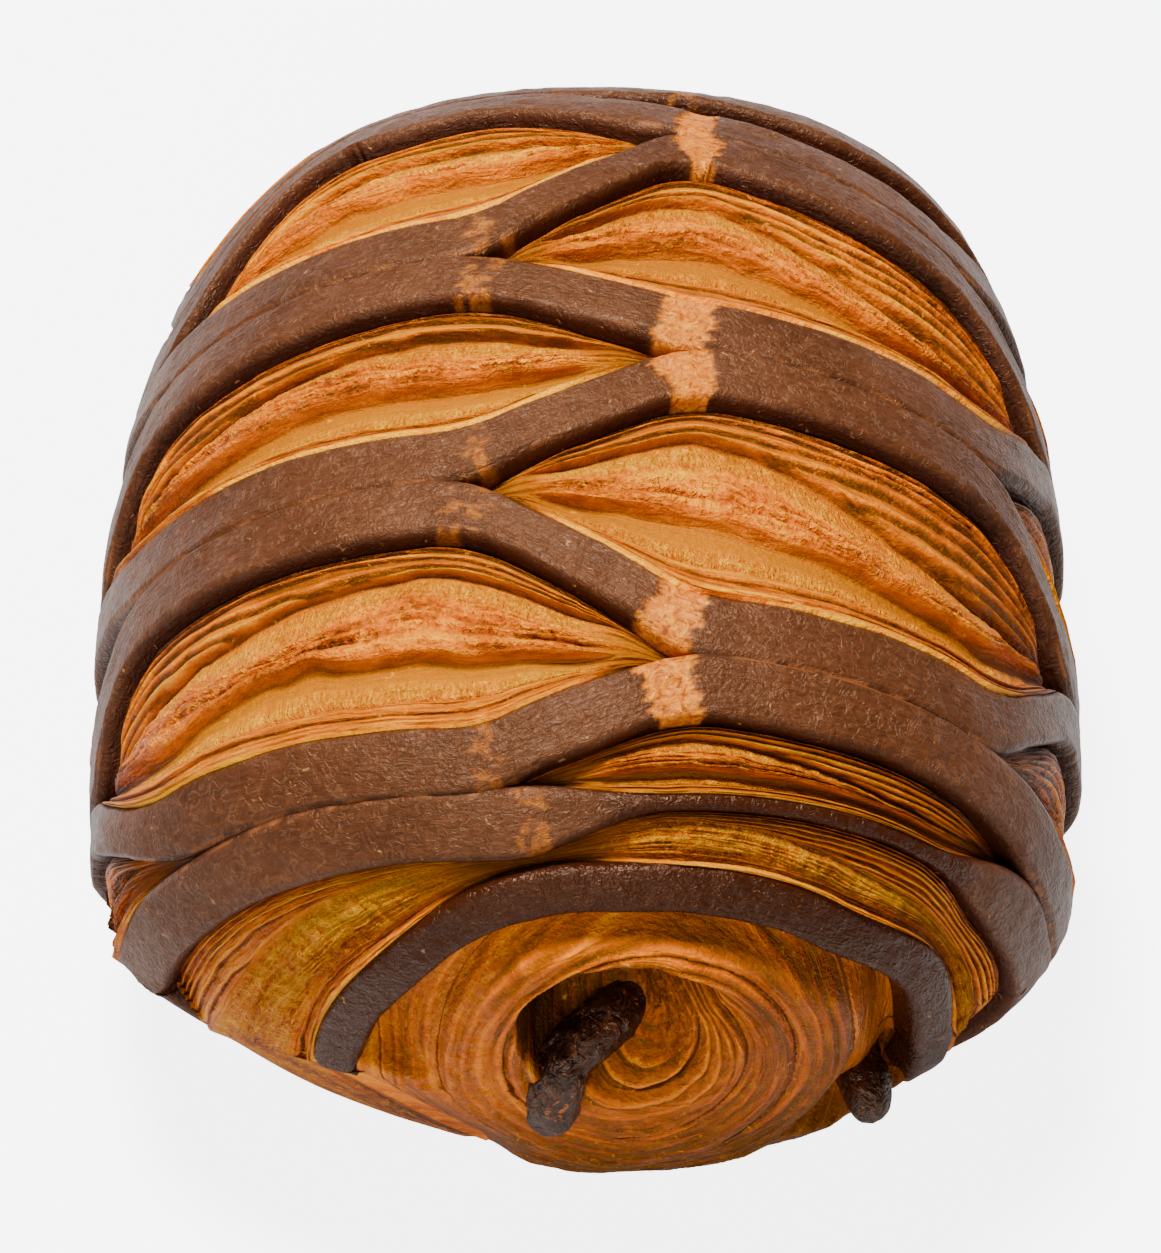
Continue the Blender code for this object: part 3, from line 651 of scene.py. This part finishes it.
def opened_dough():
    """Torn plain dough. Its masks say where it is browned, moist, fibrous or blistered; the browning mask
    also holds painted highlights and painted shade.
    """
    material, tree, shader = new_material("opened_dough", 0.34, CRUST_SHEEN)
    flat = tree.nodes.new("ShaderNodeTexCoord").outputs["UV"]
    brown_and_painted_light, wet, fibre, blister = (mask_of(tree, mask) for mask in ("brown_and_painted_light", "wet", "fibre", "blister"))
    grain, flakes, strokes = crust(tree, 0.02)
    strand = noise(tree, flat, (30.0, 330.0, 1.0), 4.0, 0.6, 0.6)
    short_fibre = noise(tree, flat, (190.0, 62.0, 1.0), 3.0, 0.62, 2.4)
    lump = noise(tree, flat, (150.0, 200.0, 1.0), 3.0, 0.6, 0.4)
    relief = scaled(tree, maths(tree, "SUBTRACT", short_fibre, strand), fibre, strand)
    relief = scaled(tree, maths(tree, "SUBTRACT", lump, strand), times(tree, blister, 0.8), relief)
    calm = scaled(tree, wet, -0.75, 1.0)
    relief = times(tree, maths(tree, "SUBTRACT", relief, 0.5), calm)
    # Raised relief is painted paler and its hollows darker: partly the crumb's own pale fibres, partly
    # painted highlight and shade.
    tone = scaled(tree, relief, -1.4, brown_and_painted_light)
    tone = scaled(tree, maths(tree, "SUBTRACT", grain, 0.5), 0.16, tone)
    colour = tint(tree, colour_ramp(tree, tone, DOUGH_STOPS), wet, 0.8, MOIST_COLOUR)
    rough_part = maths(tree, "MAXIMUM", fibre, scaled(tree, blister, 0.8, 0.12))
    strokes = times(tree, strokes, times(tree, rough_part, calm))
    stroke_share = times(tree, strokes, scaled(tree, fibre, 0.45, 0.35))
    colour = mix_colour(tree, stroke_share, colour, STROKE_COLOUR)
    colour = tint(tree, colour, flakes, 0.4, FLAKE_COLOUR)
    rough = scaled(tree, wet, 0.06, scaled(tree, fibre, 0.08, 0.3))
    relief = scaled(tree, strokes, 0.16, scaled(tree, grain, 0.3, relief))
    dress(tree, shader, colour, rough, relief, 1.0, 0.0009)
    return material


opened_finish = opened_dough()
for strip in opened:
    strip.data.materials.append(opened_finish)

# ---------------------------------------------------------------------------------------------
# Cocoa bands. A thin sheet of cocoa dough covers the roll, and the slits part it into bands,
# which stay joined in pairs. They bake to a leathery satin skin with rounded shoulders.
# ---------------------------------------------------------------------------------------------

BAND_ROOT = -3.2          # the level of a band's foot, inside the dough
OPEN_SHOULDER, JOINED_SHOULDER = 0.8, 1.0
PAIR_CREASE = 0.16        # half the width of the crease where two bands are joined
TIP_ROUND = 2.4
BAND_STATIONS, TOP_POINTS, SIDE_POINTS = 420, 34, 8
BAND_SEED, ARC_SEED = 200, 300
# Where the cocoa skin has torn off at the crossings: distance round, half its length, and how bare.
BARE = {1: (10.0, 1.6, 1.0), 2: (9.7, 1.7, 1.0), 3: (7.9, 1.8, 1.0), 4: (7.8, 1.9, 1.0), 5: (6.9, 1.9, 1.0),
        6: (7.0, 2.0, 1.0)}
SCUFFED = {0: (9.8, 1.6, 0.5), 2: (-8.8, 1.3, 0.5), 3: (-8.6, 1.6, 0.6), 4: (-8.6, 1.2, 0.5),
           5: (-9.0, 1.6, 0.5), 6: (-8.5, 1.3, 0.4), 7: (-6.0, 1.6, 0.5)}
COCOA_STOPS = ((0.55, (0.040, 0.011, 0.003)), (0.72, (0.063, 0.019, 0.0065)), (0.95, (0.095, 0.032, 0.013)))
CUT_EDGE_AND_SHADE_STOPS = ((0.5, (0.016, 0.0035, 0.0015)), (0.9, (0.040, 0.009, 0.0035)))
CRUMB_STOPS = ((0.45, (0.18, 0.036, 0.003)), (0.62, (0.38, 0.092, 0.004)), (0.84, (0.50, 0.150, 0.006)))
COCOA_STROKES, CRUMB_STROKES = (0.20, 0.086, 0.036), (0.68, 0.27, 0.025)
THIN_COLOUR, CREASE_COLOUR = (0.022, 0.0038, 0.001), (0.03, 0.010, 0.005)
FLECK_COLOUR, COCOA_FLAKES = (0.28, 0.09, 0.025), (0.36, 0.16, 0.06)
COCOA_SHEEN = (1.0, 0.66, 0.42)


def joined(band, around):
    """How firmly a lattice band is joined to the one behind it and to the one in front, 0 to 1."""
    to_even = ease(around, SWAPS, [0.0 if odd else 1.0 for odd in ODD_SIDE])
    behind = to_even if band % 2 == 0 else 1 - to_even
    front = 1 - behind
    if band == 0:
        behind = behind * 0
    if band == LATTICE_BANDS - 1:
        front = front * 0
    return behind, front


def torn_patch(spots, number, around, across, seed):
    """A torn patch across one band, with ragged ends."""
    if number not in spots:
        return 0 * around
    middle, half_length, strength = spots[number]
    ragged = (around + 0.45 * wander(across * 5, around * 0.8, seed)
              + 0.3 * wander(across * 14, around * 2, seed + 1))
    return strength * (1 - smooth(np.abs(ragged - middle), half_length - 0.15, half_length + 0.2))


def make_band(name, number, line, width, span, behind, front, seed):
    """One band, swept along its centre line as a closed tube with an uneven top. An arc has no number."""
    round_row = np.linspace(*span, BAND_STATIONS)
    along, _, step_along, step_round = line_and_step(line, round_row)
    half = width(round_row) / 2
    if number is None:
        to_tip = np.minimum(round_row - span[0], span[1] - round_row)
        half = half * np.sqrt(1 - (1 - np.clip(to_tip / TIP_ROUND, 0, 1)) ** 2 + 0.02)
    top = np.linspace(-1, 1, TOP_POINTS)
    side = np.linspace(0, 1, SIDE_POINTS)[1:]
    across = np.concatenate([top, np.ones(SIDE_POINTS - 1), -np.ones(SIDE_POINTS - 1), [-1]])
    drop = np.concatenate([np.zeros(TOP_POINTS), side, side[::-1], [0]])
    across, drop, around = np.broadcast_arrays(across[:, None], drop[:, None], round_row[None, :])
    half = np.broadcast_to(half, across.shape)
    edge = half * (1 - np.abs(across))
    join = np.where(across > 0, behind[None, :], front[None, :])
    shoulder = OPEN_SHOULDER + (JOINED_SHOULDER - OPEN_SHOULDER) * smooth(join, 0.3, 1)
    shoulder = np.minimum(shoulder, half * 0.9)
    fall = 1 - np.sqrt(1 - np.clip(1 - edge / shoulder, 0, 1) ** 2)
    bare = torn_patch(BARE, number, around, across, seed + 3)
    scuff = torn_patch(SCUFFED, number, around, across, seed + 5)
    from_crease = edge - half * (1 - PAIR_STEP / BAND_WIDTH)
    crease = np.exp(-(from_crease / PAIR_CREASE) ** 2) * smooth(join, 0.6, 1)
    torn = wander(around / 0.7, across * half / 0.7, seed + 7)
    height = -shoulder * fall - 0.1 * crease
    height += (0.09 * wander(around / 4, across * half / 2.5, seed)
               + 0.05 * wander(around / 1.4, across * half / 1.0, seed + 2)) * (1 - fall)
    height += bare * (-0.16 + 0.12 * torn)
    height = np.where(drop > 0, -shoulder + (BAND_ROOT + shoulder) * drop, height)
    sideways = across * half + 0.1 * wander(around / 5, across * 2, seed + 1)
    points = on_skin(along[None, :] + sideways * step_along, around + sideways * step_round, height)
    thin = 1 - smooth(half, 1.0, 1.8) if number is not None else 1.0
    flecks = crease * smooth(wander(around / 1.1, across, seed + 9), -0.3, 0.4)
    # The wall mask darkens the band's sides and rounded shoulders: their own red-brown cut edge, with
    # painted shade.
    masks = {"bare": np.clip(bare + 0.7 * scuff * smooth(torn, -0.2, 0.5), 0, 1),
             "wall": np.maximum(drop, fall), "crease": crease, "flecks": flecks, "thin": thin}
    piece = lay_surface(name, points, (around, sideways + drop * 2), masks)
    close_surface(piece)
    return piece


bands = []
full = np.linspace(-BAND_END, BAND_END, BAND_STATIONS)
for number, (line, width) in enumerate(LINES[1:-1]):
    behind, front = joined(number, full)
    bands.append(make_band(f"cocoa_band_{number}", number, line, width, (-BAND_END, BAND_END), behind, front,
                           BAND_SEED + 10 * number))
    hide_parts("cocoa_lattice")
for name, (line, width), span in (("cocoa_back_arc_band", LINES[0], BACK_ARC_SPAN),
                                  ("cocoa_front_arc_band", LINES[-1], FRONT_ARC_SPAN)):
    bands.append(make_band(name, None, line, width, span, full * 0, full * 0, ARC_SEED))
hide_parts("cocoa_back_arc")
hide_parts("cocoa_front_arc")


def cocoa_finish():
    """Cocoa dough: brown leather on top, a red-brown cut edge that is painted darker as painted shade, and
    tan crumb where it has torn off.
    """
    material, tree, shader = new_material("cocoa_dough_crust", 0.2, COCOA_SHEEN)
    coordinates = tree.nodes.new("ShaderNodeTexCoord")
    place, flat = coordinates.outputs["Object"], coordinates.outputs["UV"]
    bare, wall, crease, flecks, thin = (mask_of(tree, mask)
                                        for mask in ("bare", "wall", "crease", "flecks", "thin"))
    grain, flakes, strokes = crust(tree, 0.0)
    hair = noise(tree, flat, (60.0, 300.0, 1.0), 3.0, 0.6, 0.6)
    worm = noise(tree, place, (800.0,) * 3, 2.0, 0.55, 2.6)
    cloud = noise(tree, place, (120.0,) * 3, 3.0, 0.55)
    relief = maths(tree, "ADD", times(tree, hair, 0.45), times(tree, worm, 0.45))
    # The raised hair and worm relief is painted paler: partly the skin's own grain, partly painted
    # highlight.
    tone = scaled(tree, cloud, 0.5, relief)
    colour = tint(tree, colour_ramp(tree, tone, COCOA_STOPS), strokes, 0.24, COCOA_STROKES)
    # The sides and shoulders take the cut-edge colours, which hold painted shade as well as the edge's
    # red-brown.
    colour = mix_colour(tree, wall, colour, colour_ramp(tree, tone, CUT_EDGE_AND_SHADE_STOPS))
    for mask, strength, over in ((thin, 0.85, THIN_COLOUR), (crease, 0.45, CREASE_COLOUR),
                                 (flecks, 0.5, FLECK_COLOUR), (flakes, 0.55, COCOA_FLAKES)):
        colour = tint(tree, colour, mask, strength, over)
    crumb = colour_ramp(tree, scaled(tree, grain, 0.3, worm), CRUMB_STOPS)
    colour = mix_colour(tree, bare, colour, tint(tree, crumb, strokes, 0.6, CRUMB_STROKES))
    rough = scaled(tree, worm, -0.3, scaled(tree, thin, -0.15, 0.56))
    relief = scaled(tree, strokes, 0.15, scaled(tree, grain, 0.25, relief))
    dress(tree, shader, colour, rough, relief, 0.8, 0.0004)
    return material


cocoa = cocoa_finish()
for band in bands:
    band.data.materials.append(cocoa)

# ---------------------------------------------------------------------------------------------
# Rolled ends. The end of the roll shows its layers as a spiral. Its middle sinks where the dough
# was rolled loosely round the first stick, and a fold opens beside it over the second one.
# ---------------------------------------------------------------------------------------------

HOLLOW_AT, HOLLOW_SIZE = (3.1, 27.3), (8.2, 7.8)
DEEP, SHALLOW = 11.0, 6.5
# The rings' middle moves from the first place to the second over this distance from it.
INNER_RINGS, OUTER_RINGS, RINGS_REACH = (5.6, 26.2), (3.4, 23.4), 14.0
WRAP_PITCH, WRAP_SHEETS, WRAP_STEP = 4.5, 4.0, 0.7
# The fold's core edge and width at each height.
POCKET_HEIGHTS = (12.0, 13.6, 17.6, 22.2, 26.1, 29.6)
POCKET_CORE = (14.6, 15.7, 17.8, 19.9, 21.0, 20.1)
POCKET_WIDTHS = (9.0, 8.6, 6.6, 4.4, 2.8, 0.4)
POCKET_DEPTH = 4.2
END_SWELL = 3.6
LID_ROUND, LID_ALONG = (76.0, 92.0), 43.0    # where the lid's rim leaves its arc, under the roll
LID_PAST_ARC, LID_TIP_LEVEL = (3, -2), -0.5
LID_SHRINK, LID_DEPTH, LID_RISE = (0.8, 1, 0.85), 15.0, 2.0
END_ROWS, END_COLUMNS, END_SEED = 190, 520, 500


def rings(x, z):
    """Distance from the rings' middle, the angle round it, and how many turns of dough lie inside."""
    far = 8.0                                # a first guess, because the middle moves with the distance
    for _ in range(4):
        share = smooth(far, 0, RINGS_REACH)
        middle_x = INNER_RINGS[0] + (OUTER_RINGS[0] - INNER_RINGS[0]) * share
        middle_z = INNER_RINGS[1] + (OUTER_RINGS[1] - INNER_RINGS[1]) * share
        far = np.hypot(x - middle_x, z - middle_z)
    angle = np.arctan2(z - middle_z, x - middle_x)
    wind = far / WRAP_PITCH + angle / (2 * math.pi) + 0.12 * np.cos(2 * angle + 0.7) + 0.2
    return far, angle, wind


def hollow_depth(x, z):
    """The middle sinks steeply behind its upper left rim and gently from its lower right."""
    aside, above = (x - HOLLOW_AT[0]) / HOLLOW_SIZE[0], (z - HOLLOW_AT[1]) / HOLLOW_SIZE[1]
    away = np.hypot(aside, above)
    away = away * (1 + 0.03 * np.cos(3 * np.arctan2(above, aside) + 1))
    steep = smooth(above - 1.2 * aside, -0.7, 0.6)
    gentle = SHALLOW * (1 - smooth(away, -0.1, 1.12))
    sheer = DEEP * (1 - smooth(away, 0.86, 1.0))
    return gentle + (sheer - gentle) * steep, steep, away


def pocket_depth(x, z):
    """A fold beside the core, open at its foot, where the second stick comes out."""
    core = np.interp(z, POCKET_HEIGHTS, POCKET_CORE)
    width = np.interp(z, POCKET_HEIGHTS, POCKET_WIDTHS)
    inside = smooth(x - core, -0.1, 0.9) * (1 - smooth(x - core - width, -1.2, 0.3))
    inside *= smooth(z, 10, 12.5) * (1 - smooth(z, 28, 30.5))
    return POCKET_DEPTH * inside * (1 - 0.6 * smooth(z, 14.5, 17)), inside


def rolled_end(name, line, span, end, inward):
    """One end of the roll, as a closed lid whose rim lies under its cocoa arc."""
    round_row = np.linspace(GIRTH / 2, -GIRTH / 2, END_COLUMNS)
    rim = line[0](round_row)
    rim = rim + (-inward * LID_ALONG - rim) * smooth(np.abs(round_row), *LID_ROUND)
    across = np.linspace(0, 1, END_ROWS)[:, None]
    along = rim + (end - rim) * across
    along, around = np.broadcast_arrays(along, round_row[None, :])
    past = np.abs(along - rim)
    height = BED * (1 - smooth(past, END_ARC_WIDTH / 2 + 0.2, END_ARC_WIDTH / 2 + END_SWELL))
    past_end = past_span(around, (span[0] + LID_PAST_ARC[0], span[1] + LID_PAST_ARC[1]))
    height = height * (1 - past_end) + LID_TIP_LEVEL * past_end * (1 - smooth(past, 0, 3))
    points = on_skin(along, around, height)
    x, z = points[..., 0], points[..., 2]
    far, angle, wind = rings(x, z)
    turn = np.floor(wind)
    share = wind - turn
    unrolled = (angle - 2 * math.pi * turn) * 8
    face = smooth(past, END_ARC_WIDTH / 2 - 0.5, END_ARC_WIDTH / 2 + 3)
    step, edge, shade_line_between, tone = sheet_steps(share * WRAP_SHEETS, unrolled, END_SEED)
    hollow, steep, away = hollow_depth(x, z)
    pocket, in_pocket = pocket_depth(x, z)
    calm = 1 - in_pocket
    ledges = (0.5 + 0.9 * (1 - smooth(away, 0.9, 1.3))) * smooth(far, 1.5, 4.5)
    grain = streaks(unrolled / 4, share * 7, END_SEED + 10)
    crumple = (wander(unrolled / 1.3, share * 5, END_SEED + 12)
               + 0.6 * wander(unrolled / 0.6, share * 11, END_SEED + 13))
    left = smooth(-x, -2, 8) * smooth(away, 1.0, 1.3)
    depth = -(WRAP_STEP * (share - smooth(share, 0.8, 1.0)) + 0.36 * step * ledges) * calm
    depth -= (0.2 * (grain - 0.4) + (0.1 + 0.12 * left) * crumple) * calm
    points[..., 1] += inward * (depth * face + hollow + pocket)

    # Each ledge's lip gets a painted highlight and the line under it painted shade.
    brown_and_painted_light = 0.61 + 0.1 * tone - 0.3 * edge * ledges + 0.2 * shade_line_between * ledges + 0.1 * (share - 0.5)
    brown_and_painted_light += 0.1 * (0.5 - grain) + 0.05 * crumple
    brown_and_painted_light += 0.16 * smooth(x, 4, 16) * smooth(away, 1.0, 1.25) - 0.06 * left
    brown_and_painted_light -= 0.06 * smooth(z, 32, 37)
    brown_and_painted_light += 0.42 * (1 - smooth(z, 7, 22)) + 0.14 * (1 - smooth(away, 0.2, 1.0))
    brown_and_painted_light += 0.16 * np.exp(-((away - 1.14) / 0.13) ** 2) * steep
    # Deep in the steep side of the hollow the dough is painted almost black: painted shade.
    brown_and_painted_light = brown_and_painted_light + (1.15 - brown_and_painted_light) * steep * smooth(hollow, 0.4, 1.4)
    brown_and_painted_light = brown_and_painted_light + (0.6 - brown_and_painted_light) * in_pocket
    wet = 0.35 * (1 - edge) * calm + 0.5 * in_pocket
    deep = points[0] * LID_SHRINK + (0, inward * LID_DEPTH, LID_RISE)
    middle = np.broadcast_to(deep.mean(axis=0), deep.shape)
    points = np.concatenate([middle[None], deep[None], points])
    pad = lambda values: np.concatenate([values[:1], values[:1], values])
    masks = {"brown_and_painted_light": np.clip(brown_and_painted_light, 0, 1), "wet": np.clip(wet, 0, 1), "fibre": 0.4 * left,
             "blister": 0.25 * calm}
    piece = lay_surface(name, points, (pad(unrolled) * 0.6, pad(far) * 0.5),
                        {mask: pad(values) for mask, values in masks.items()})
    close_surface(piece)
    piece.data.materials.append(opened_finish)
    return piece


rolled_end("rolled_end_front", LINES[-1], FRONT_ARC_SPAN, FRONT_END, 1)
rolled_end("rolled_end_back", LINES[0], BACK_ARC_SPAN, BACK_END, -1)

# ---------------------------------------------------------------------------------------------
# Chocolate sticks. Baking sticks that run through the roll. They soften and droop out of its
# ends, and set again with a bumpy, half-glossy skin.
# ---------------------------------------------------------------------------------------------

STICK_WIDE, STICK_HIGH, STICK_TIP, STICK_SQUARE = 4.0, 3.8, 3.0, 0.8
CORE_STICK = ((-2.8, -49.0, 17.3), (-2.4, -48.2, 20.3), (-1.4, -46.4, 22.8), (1.5, -43.5, 24.0),
              (5.0, -39.8, 23.2), (6.0, -33.0, 24.0), (4.5, 0.0, 26.0), (4.0, 36.0, 25.5), (3.2, 50.6, 23.5))
SIDE_STICK = ((21.9, -46.4, 14.5), (21.5, -44.4, 15.5), (20.7, -40.0, 15.4),
              (20.5, -30.0, 15.0), (20.0, 0.0, 14.5), (20.5, 34.0, 14.5), (21.3, 45.5, 14.2))
STICK_RINGS, STICK_SIDES = 420, 48
CORE_STICK_SEED, SIDE_STICK_SEED = 400, 410
CHOCOLATE_STOPS = ((0.35, (0.006, 0.0015, 0.001)), (0.55, (0.018, 0.005, 0.0025)),
                   (0.72, (0.060, 0.016, 0.006)))
CHOCOLATE_FLAKES, CHOCOLATE_STROKES = (0.36, 0.09, 0.015), (0.20, 0.06, 0.02)
CHOCOLATE_SHEEN = (1.0, 0.7, 0.5)


def smooth_path(knots, count):
    """Points on a smooth curve through the knots, evenly spaced along it."""
    knots = np.array(knots)
    padded = np.vstack([2 * knots[0] - knots[1], knots, 2 * knots[-1] - knots[-2]])
    points = []
    for place in np.linspace(0, len(knots) - 1, 40 * len(knots)):
        i = min(int(place), len(knots) - 2)
        t = place - i
        a, b, c, d = padded[i:i + 4]
        points.append(0.5 * (2 * b + (c - a) * t + (2 * a - 5 * b + 4 * c - d) * t * t
                             + (3 * b - a - 3 * c + d) * t ** 3))
    points = np.array(points)
    distance = distance_table(points)
    even = np.linspace(0, distance[-1], count)
    return np.stack([np.interp(even, distance, points[:, axis]) for axis in range(3)], axis=1), even


def make_stick(name, knots, seed):
    """A stick along a path, squared off, lumpy, and rounded at its ends."""
    path, distance = smooth_path(knots, STICK_RINGS)
    tangents = np.gradient(path, axis=0)
    tangents /= np.linalg.norm(tangents, axis=1, keepdims=True)
    level = np.cross(tangents, (0, 0, 1))
    level /= np.linalg.norm(level, axis=1, keepdims=True)
    upright = np.cross(level, tangents)
    to_end = np.minimum(distance, distance[-1] - distance)
    narrow = np.sqrt(1 - (1 - np.clip(to_end / STICK_TIP, 0, 1)) ** 2)[:, None]
    angle = np.linspace(0, 2 * math.pi, STICK_SIDES + 1)[None, :]
    along_stick = distance[:, None] + 0 * angle
    lump = (1 + 0.1 * wander(along_stick / 1.7, 2.2 * np.cos(angle) + 8, seed)
            + 0.06 * wander(along_stick / 0.8, 4 * np.sin(angle) + 8, seed + 1))
    wide = STICK_WIDE / 2 * narrow * power(np.cos(angle), STICK_SQUARE) * lump
    high = STICK_HIGH / 2 * narrow * power(np.sin(angle), STICK_SQUARE) * lump
    points = path[:, None] + level[:, None] * wide[..., None] + upright[:, None] * high[..., None]
    points[..., 2] = np.maximum(points[..., 2], 0)
    piece = lay_surface(name, points, (angle * 2.4, distance[:, None]), {})
    close_surface(piece)
    return piece


core_stick = make_stick("drooping_core_stick", CORE_STICK, CORE_STICK_SEED)
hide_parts("core_stick")
side_stick = make_stick("drooping_side_stick", SIDE_STICK, SIDE_STICK_SEED)
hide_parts("side_stick")


def chocolate_finish():
    """Chocolate that has melted and set again: almost black, glossy on its lumps, with tan crumbs."""
    material, tree, shader = new_material("baked_chocolate_skin", 0.4, CHOCOLATE_SHEEN)
    place = tree.nodes.new("ShaderNodeTexCoord").outputs["Object"]
    grain, flakes, strokes = crust(tree, 0.06)
    lumps = noise(tree, place, (650.0,) * 3, 4.0, 0.62, 0.8)
    colour = tint(tree, colour_ramp(tree, lumps, CHOCOLATE_STOPS), flakes, 0.6, CHOCOLATE_FLAKES)
    colour = tint(tree, colour, strokes, 0.25, CHOCOLATE_STROKES)
    rough = scaled(tree, lumps, -0.4, 0.42)
    dress(tree, shader, colour, rough, scaled(tree, grain, 0.2, lumps), 0.9, 0.0007)
    return material


chocolate = chocolate_finish()
for stick in (core_stick, side_stick):
    stick.data.materials.append(chocolate)

# ---------------------------------------------------------------------------------------------
# Table, light and camera. A white table under one broad soft light, above and behind the
# pastry, so that the sides of the bands that face the camera lie in their own shade.
# ---------------------------------------------------------------------------------------------

TABLE_SIZE, TABLE_GREY, TABLE_ROUGHNESS, TABLE_GLOW = 4, 0.6, 0.8, 5.0
ROOM_COLOUR, ROOM_STRENGTH = (1, 0.86, 0.72, 1), 0.14
CAMERA_ELEVATION, CAMERA_DISTANCE, AIM_HEIGHT = 49.0, 0.355, 0.020
CAMERA_LENS, CAMERA_SHIFT = 133.9, (-0.004, -0.0087)

bpy.ops.object.select_all(action="DESELECT")
bpy.ops.mesh.primitive_plane_add(size=TABLE_SIZE, location=(0, 0, 0))
table = bpy.context.object
table.name = "table"
table_finish, table_tree, table_shader = new_material("white_table")
table_shader.inputs["Base Color"].default_value = (TABLE_GREY, TABLE_GREY, TABLE_GREY, 1)
table_shader.inputs["Roughness"].default_value = TABLE_ROUGHNESS
table_shader.inputs["Emission Color"].default_value = (1, 1, 1, 1)
seen = table_tree.nodes.new("ShaderNodeLightPath").outputs["Is Camera Ray"]
table_tree.links.new(times(table_tree, seen, TABLE_GLOW), table_shader.inputs["Emission Strength"])
table.data.materials.append(table_finish)

world = bpy.data.worlds.new("studio")
bpy.context.scene.world = world
world.use_nodes = True
world.node_tree.nodes["Background"].inputs["Color"].default_value = ROOM_COLOUR
world.node_tree.nodes["Background"].inputs["Strength"].default_value = ROOM_STRENGTH


def soft_light(name, place, size, power_watts):
    """A round soft light that shines at the middle of the pastry."""
    bpy.ops.object.light_add(type="AREA", location=Vector(place))
    light = bpy.context.object
    light.name = name
    light.data.shape = "DISK"
    light.data.size = size
    light.data.energy = power_watts
    light.rotation_euler = (Vector((0, 0, AIM_HEIGHT)) - Vector(place)).to_track_quat("-Z", "Y").to_euler()


soft_light("overhead", (-0.08, 0.14, 0.6), 0.18, 12.0)
soft_light("front_fill", (-0.12, -0.6, 0.4), 0.35, 4.4)

elevation = math.radians(CAMERA_ELEVATION)
bpy.ops.object.camera_add(
    location=(0, -CAMERA_DISTANCE * math.cos(elevation), AIM_HEIGHT + CAMERA_DISTANCE * math.sin(elevation)),
    rotation=(math.pi / 2 - elevation, 0, 0),
)
camera = bpy.context.object
camera.name = "photo_camera"
camera.data.sensor_fit = "HORIZONTAL"
camera.data.sensor_width = 36
camera.data.lens = CAMERA_LENS
camera.data.shift_x, camera.data.shift_y = CAMERA_SHIFT
bpy.context.scene.camera = camera
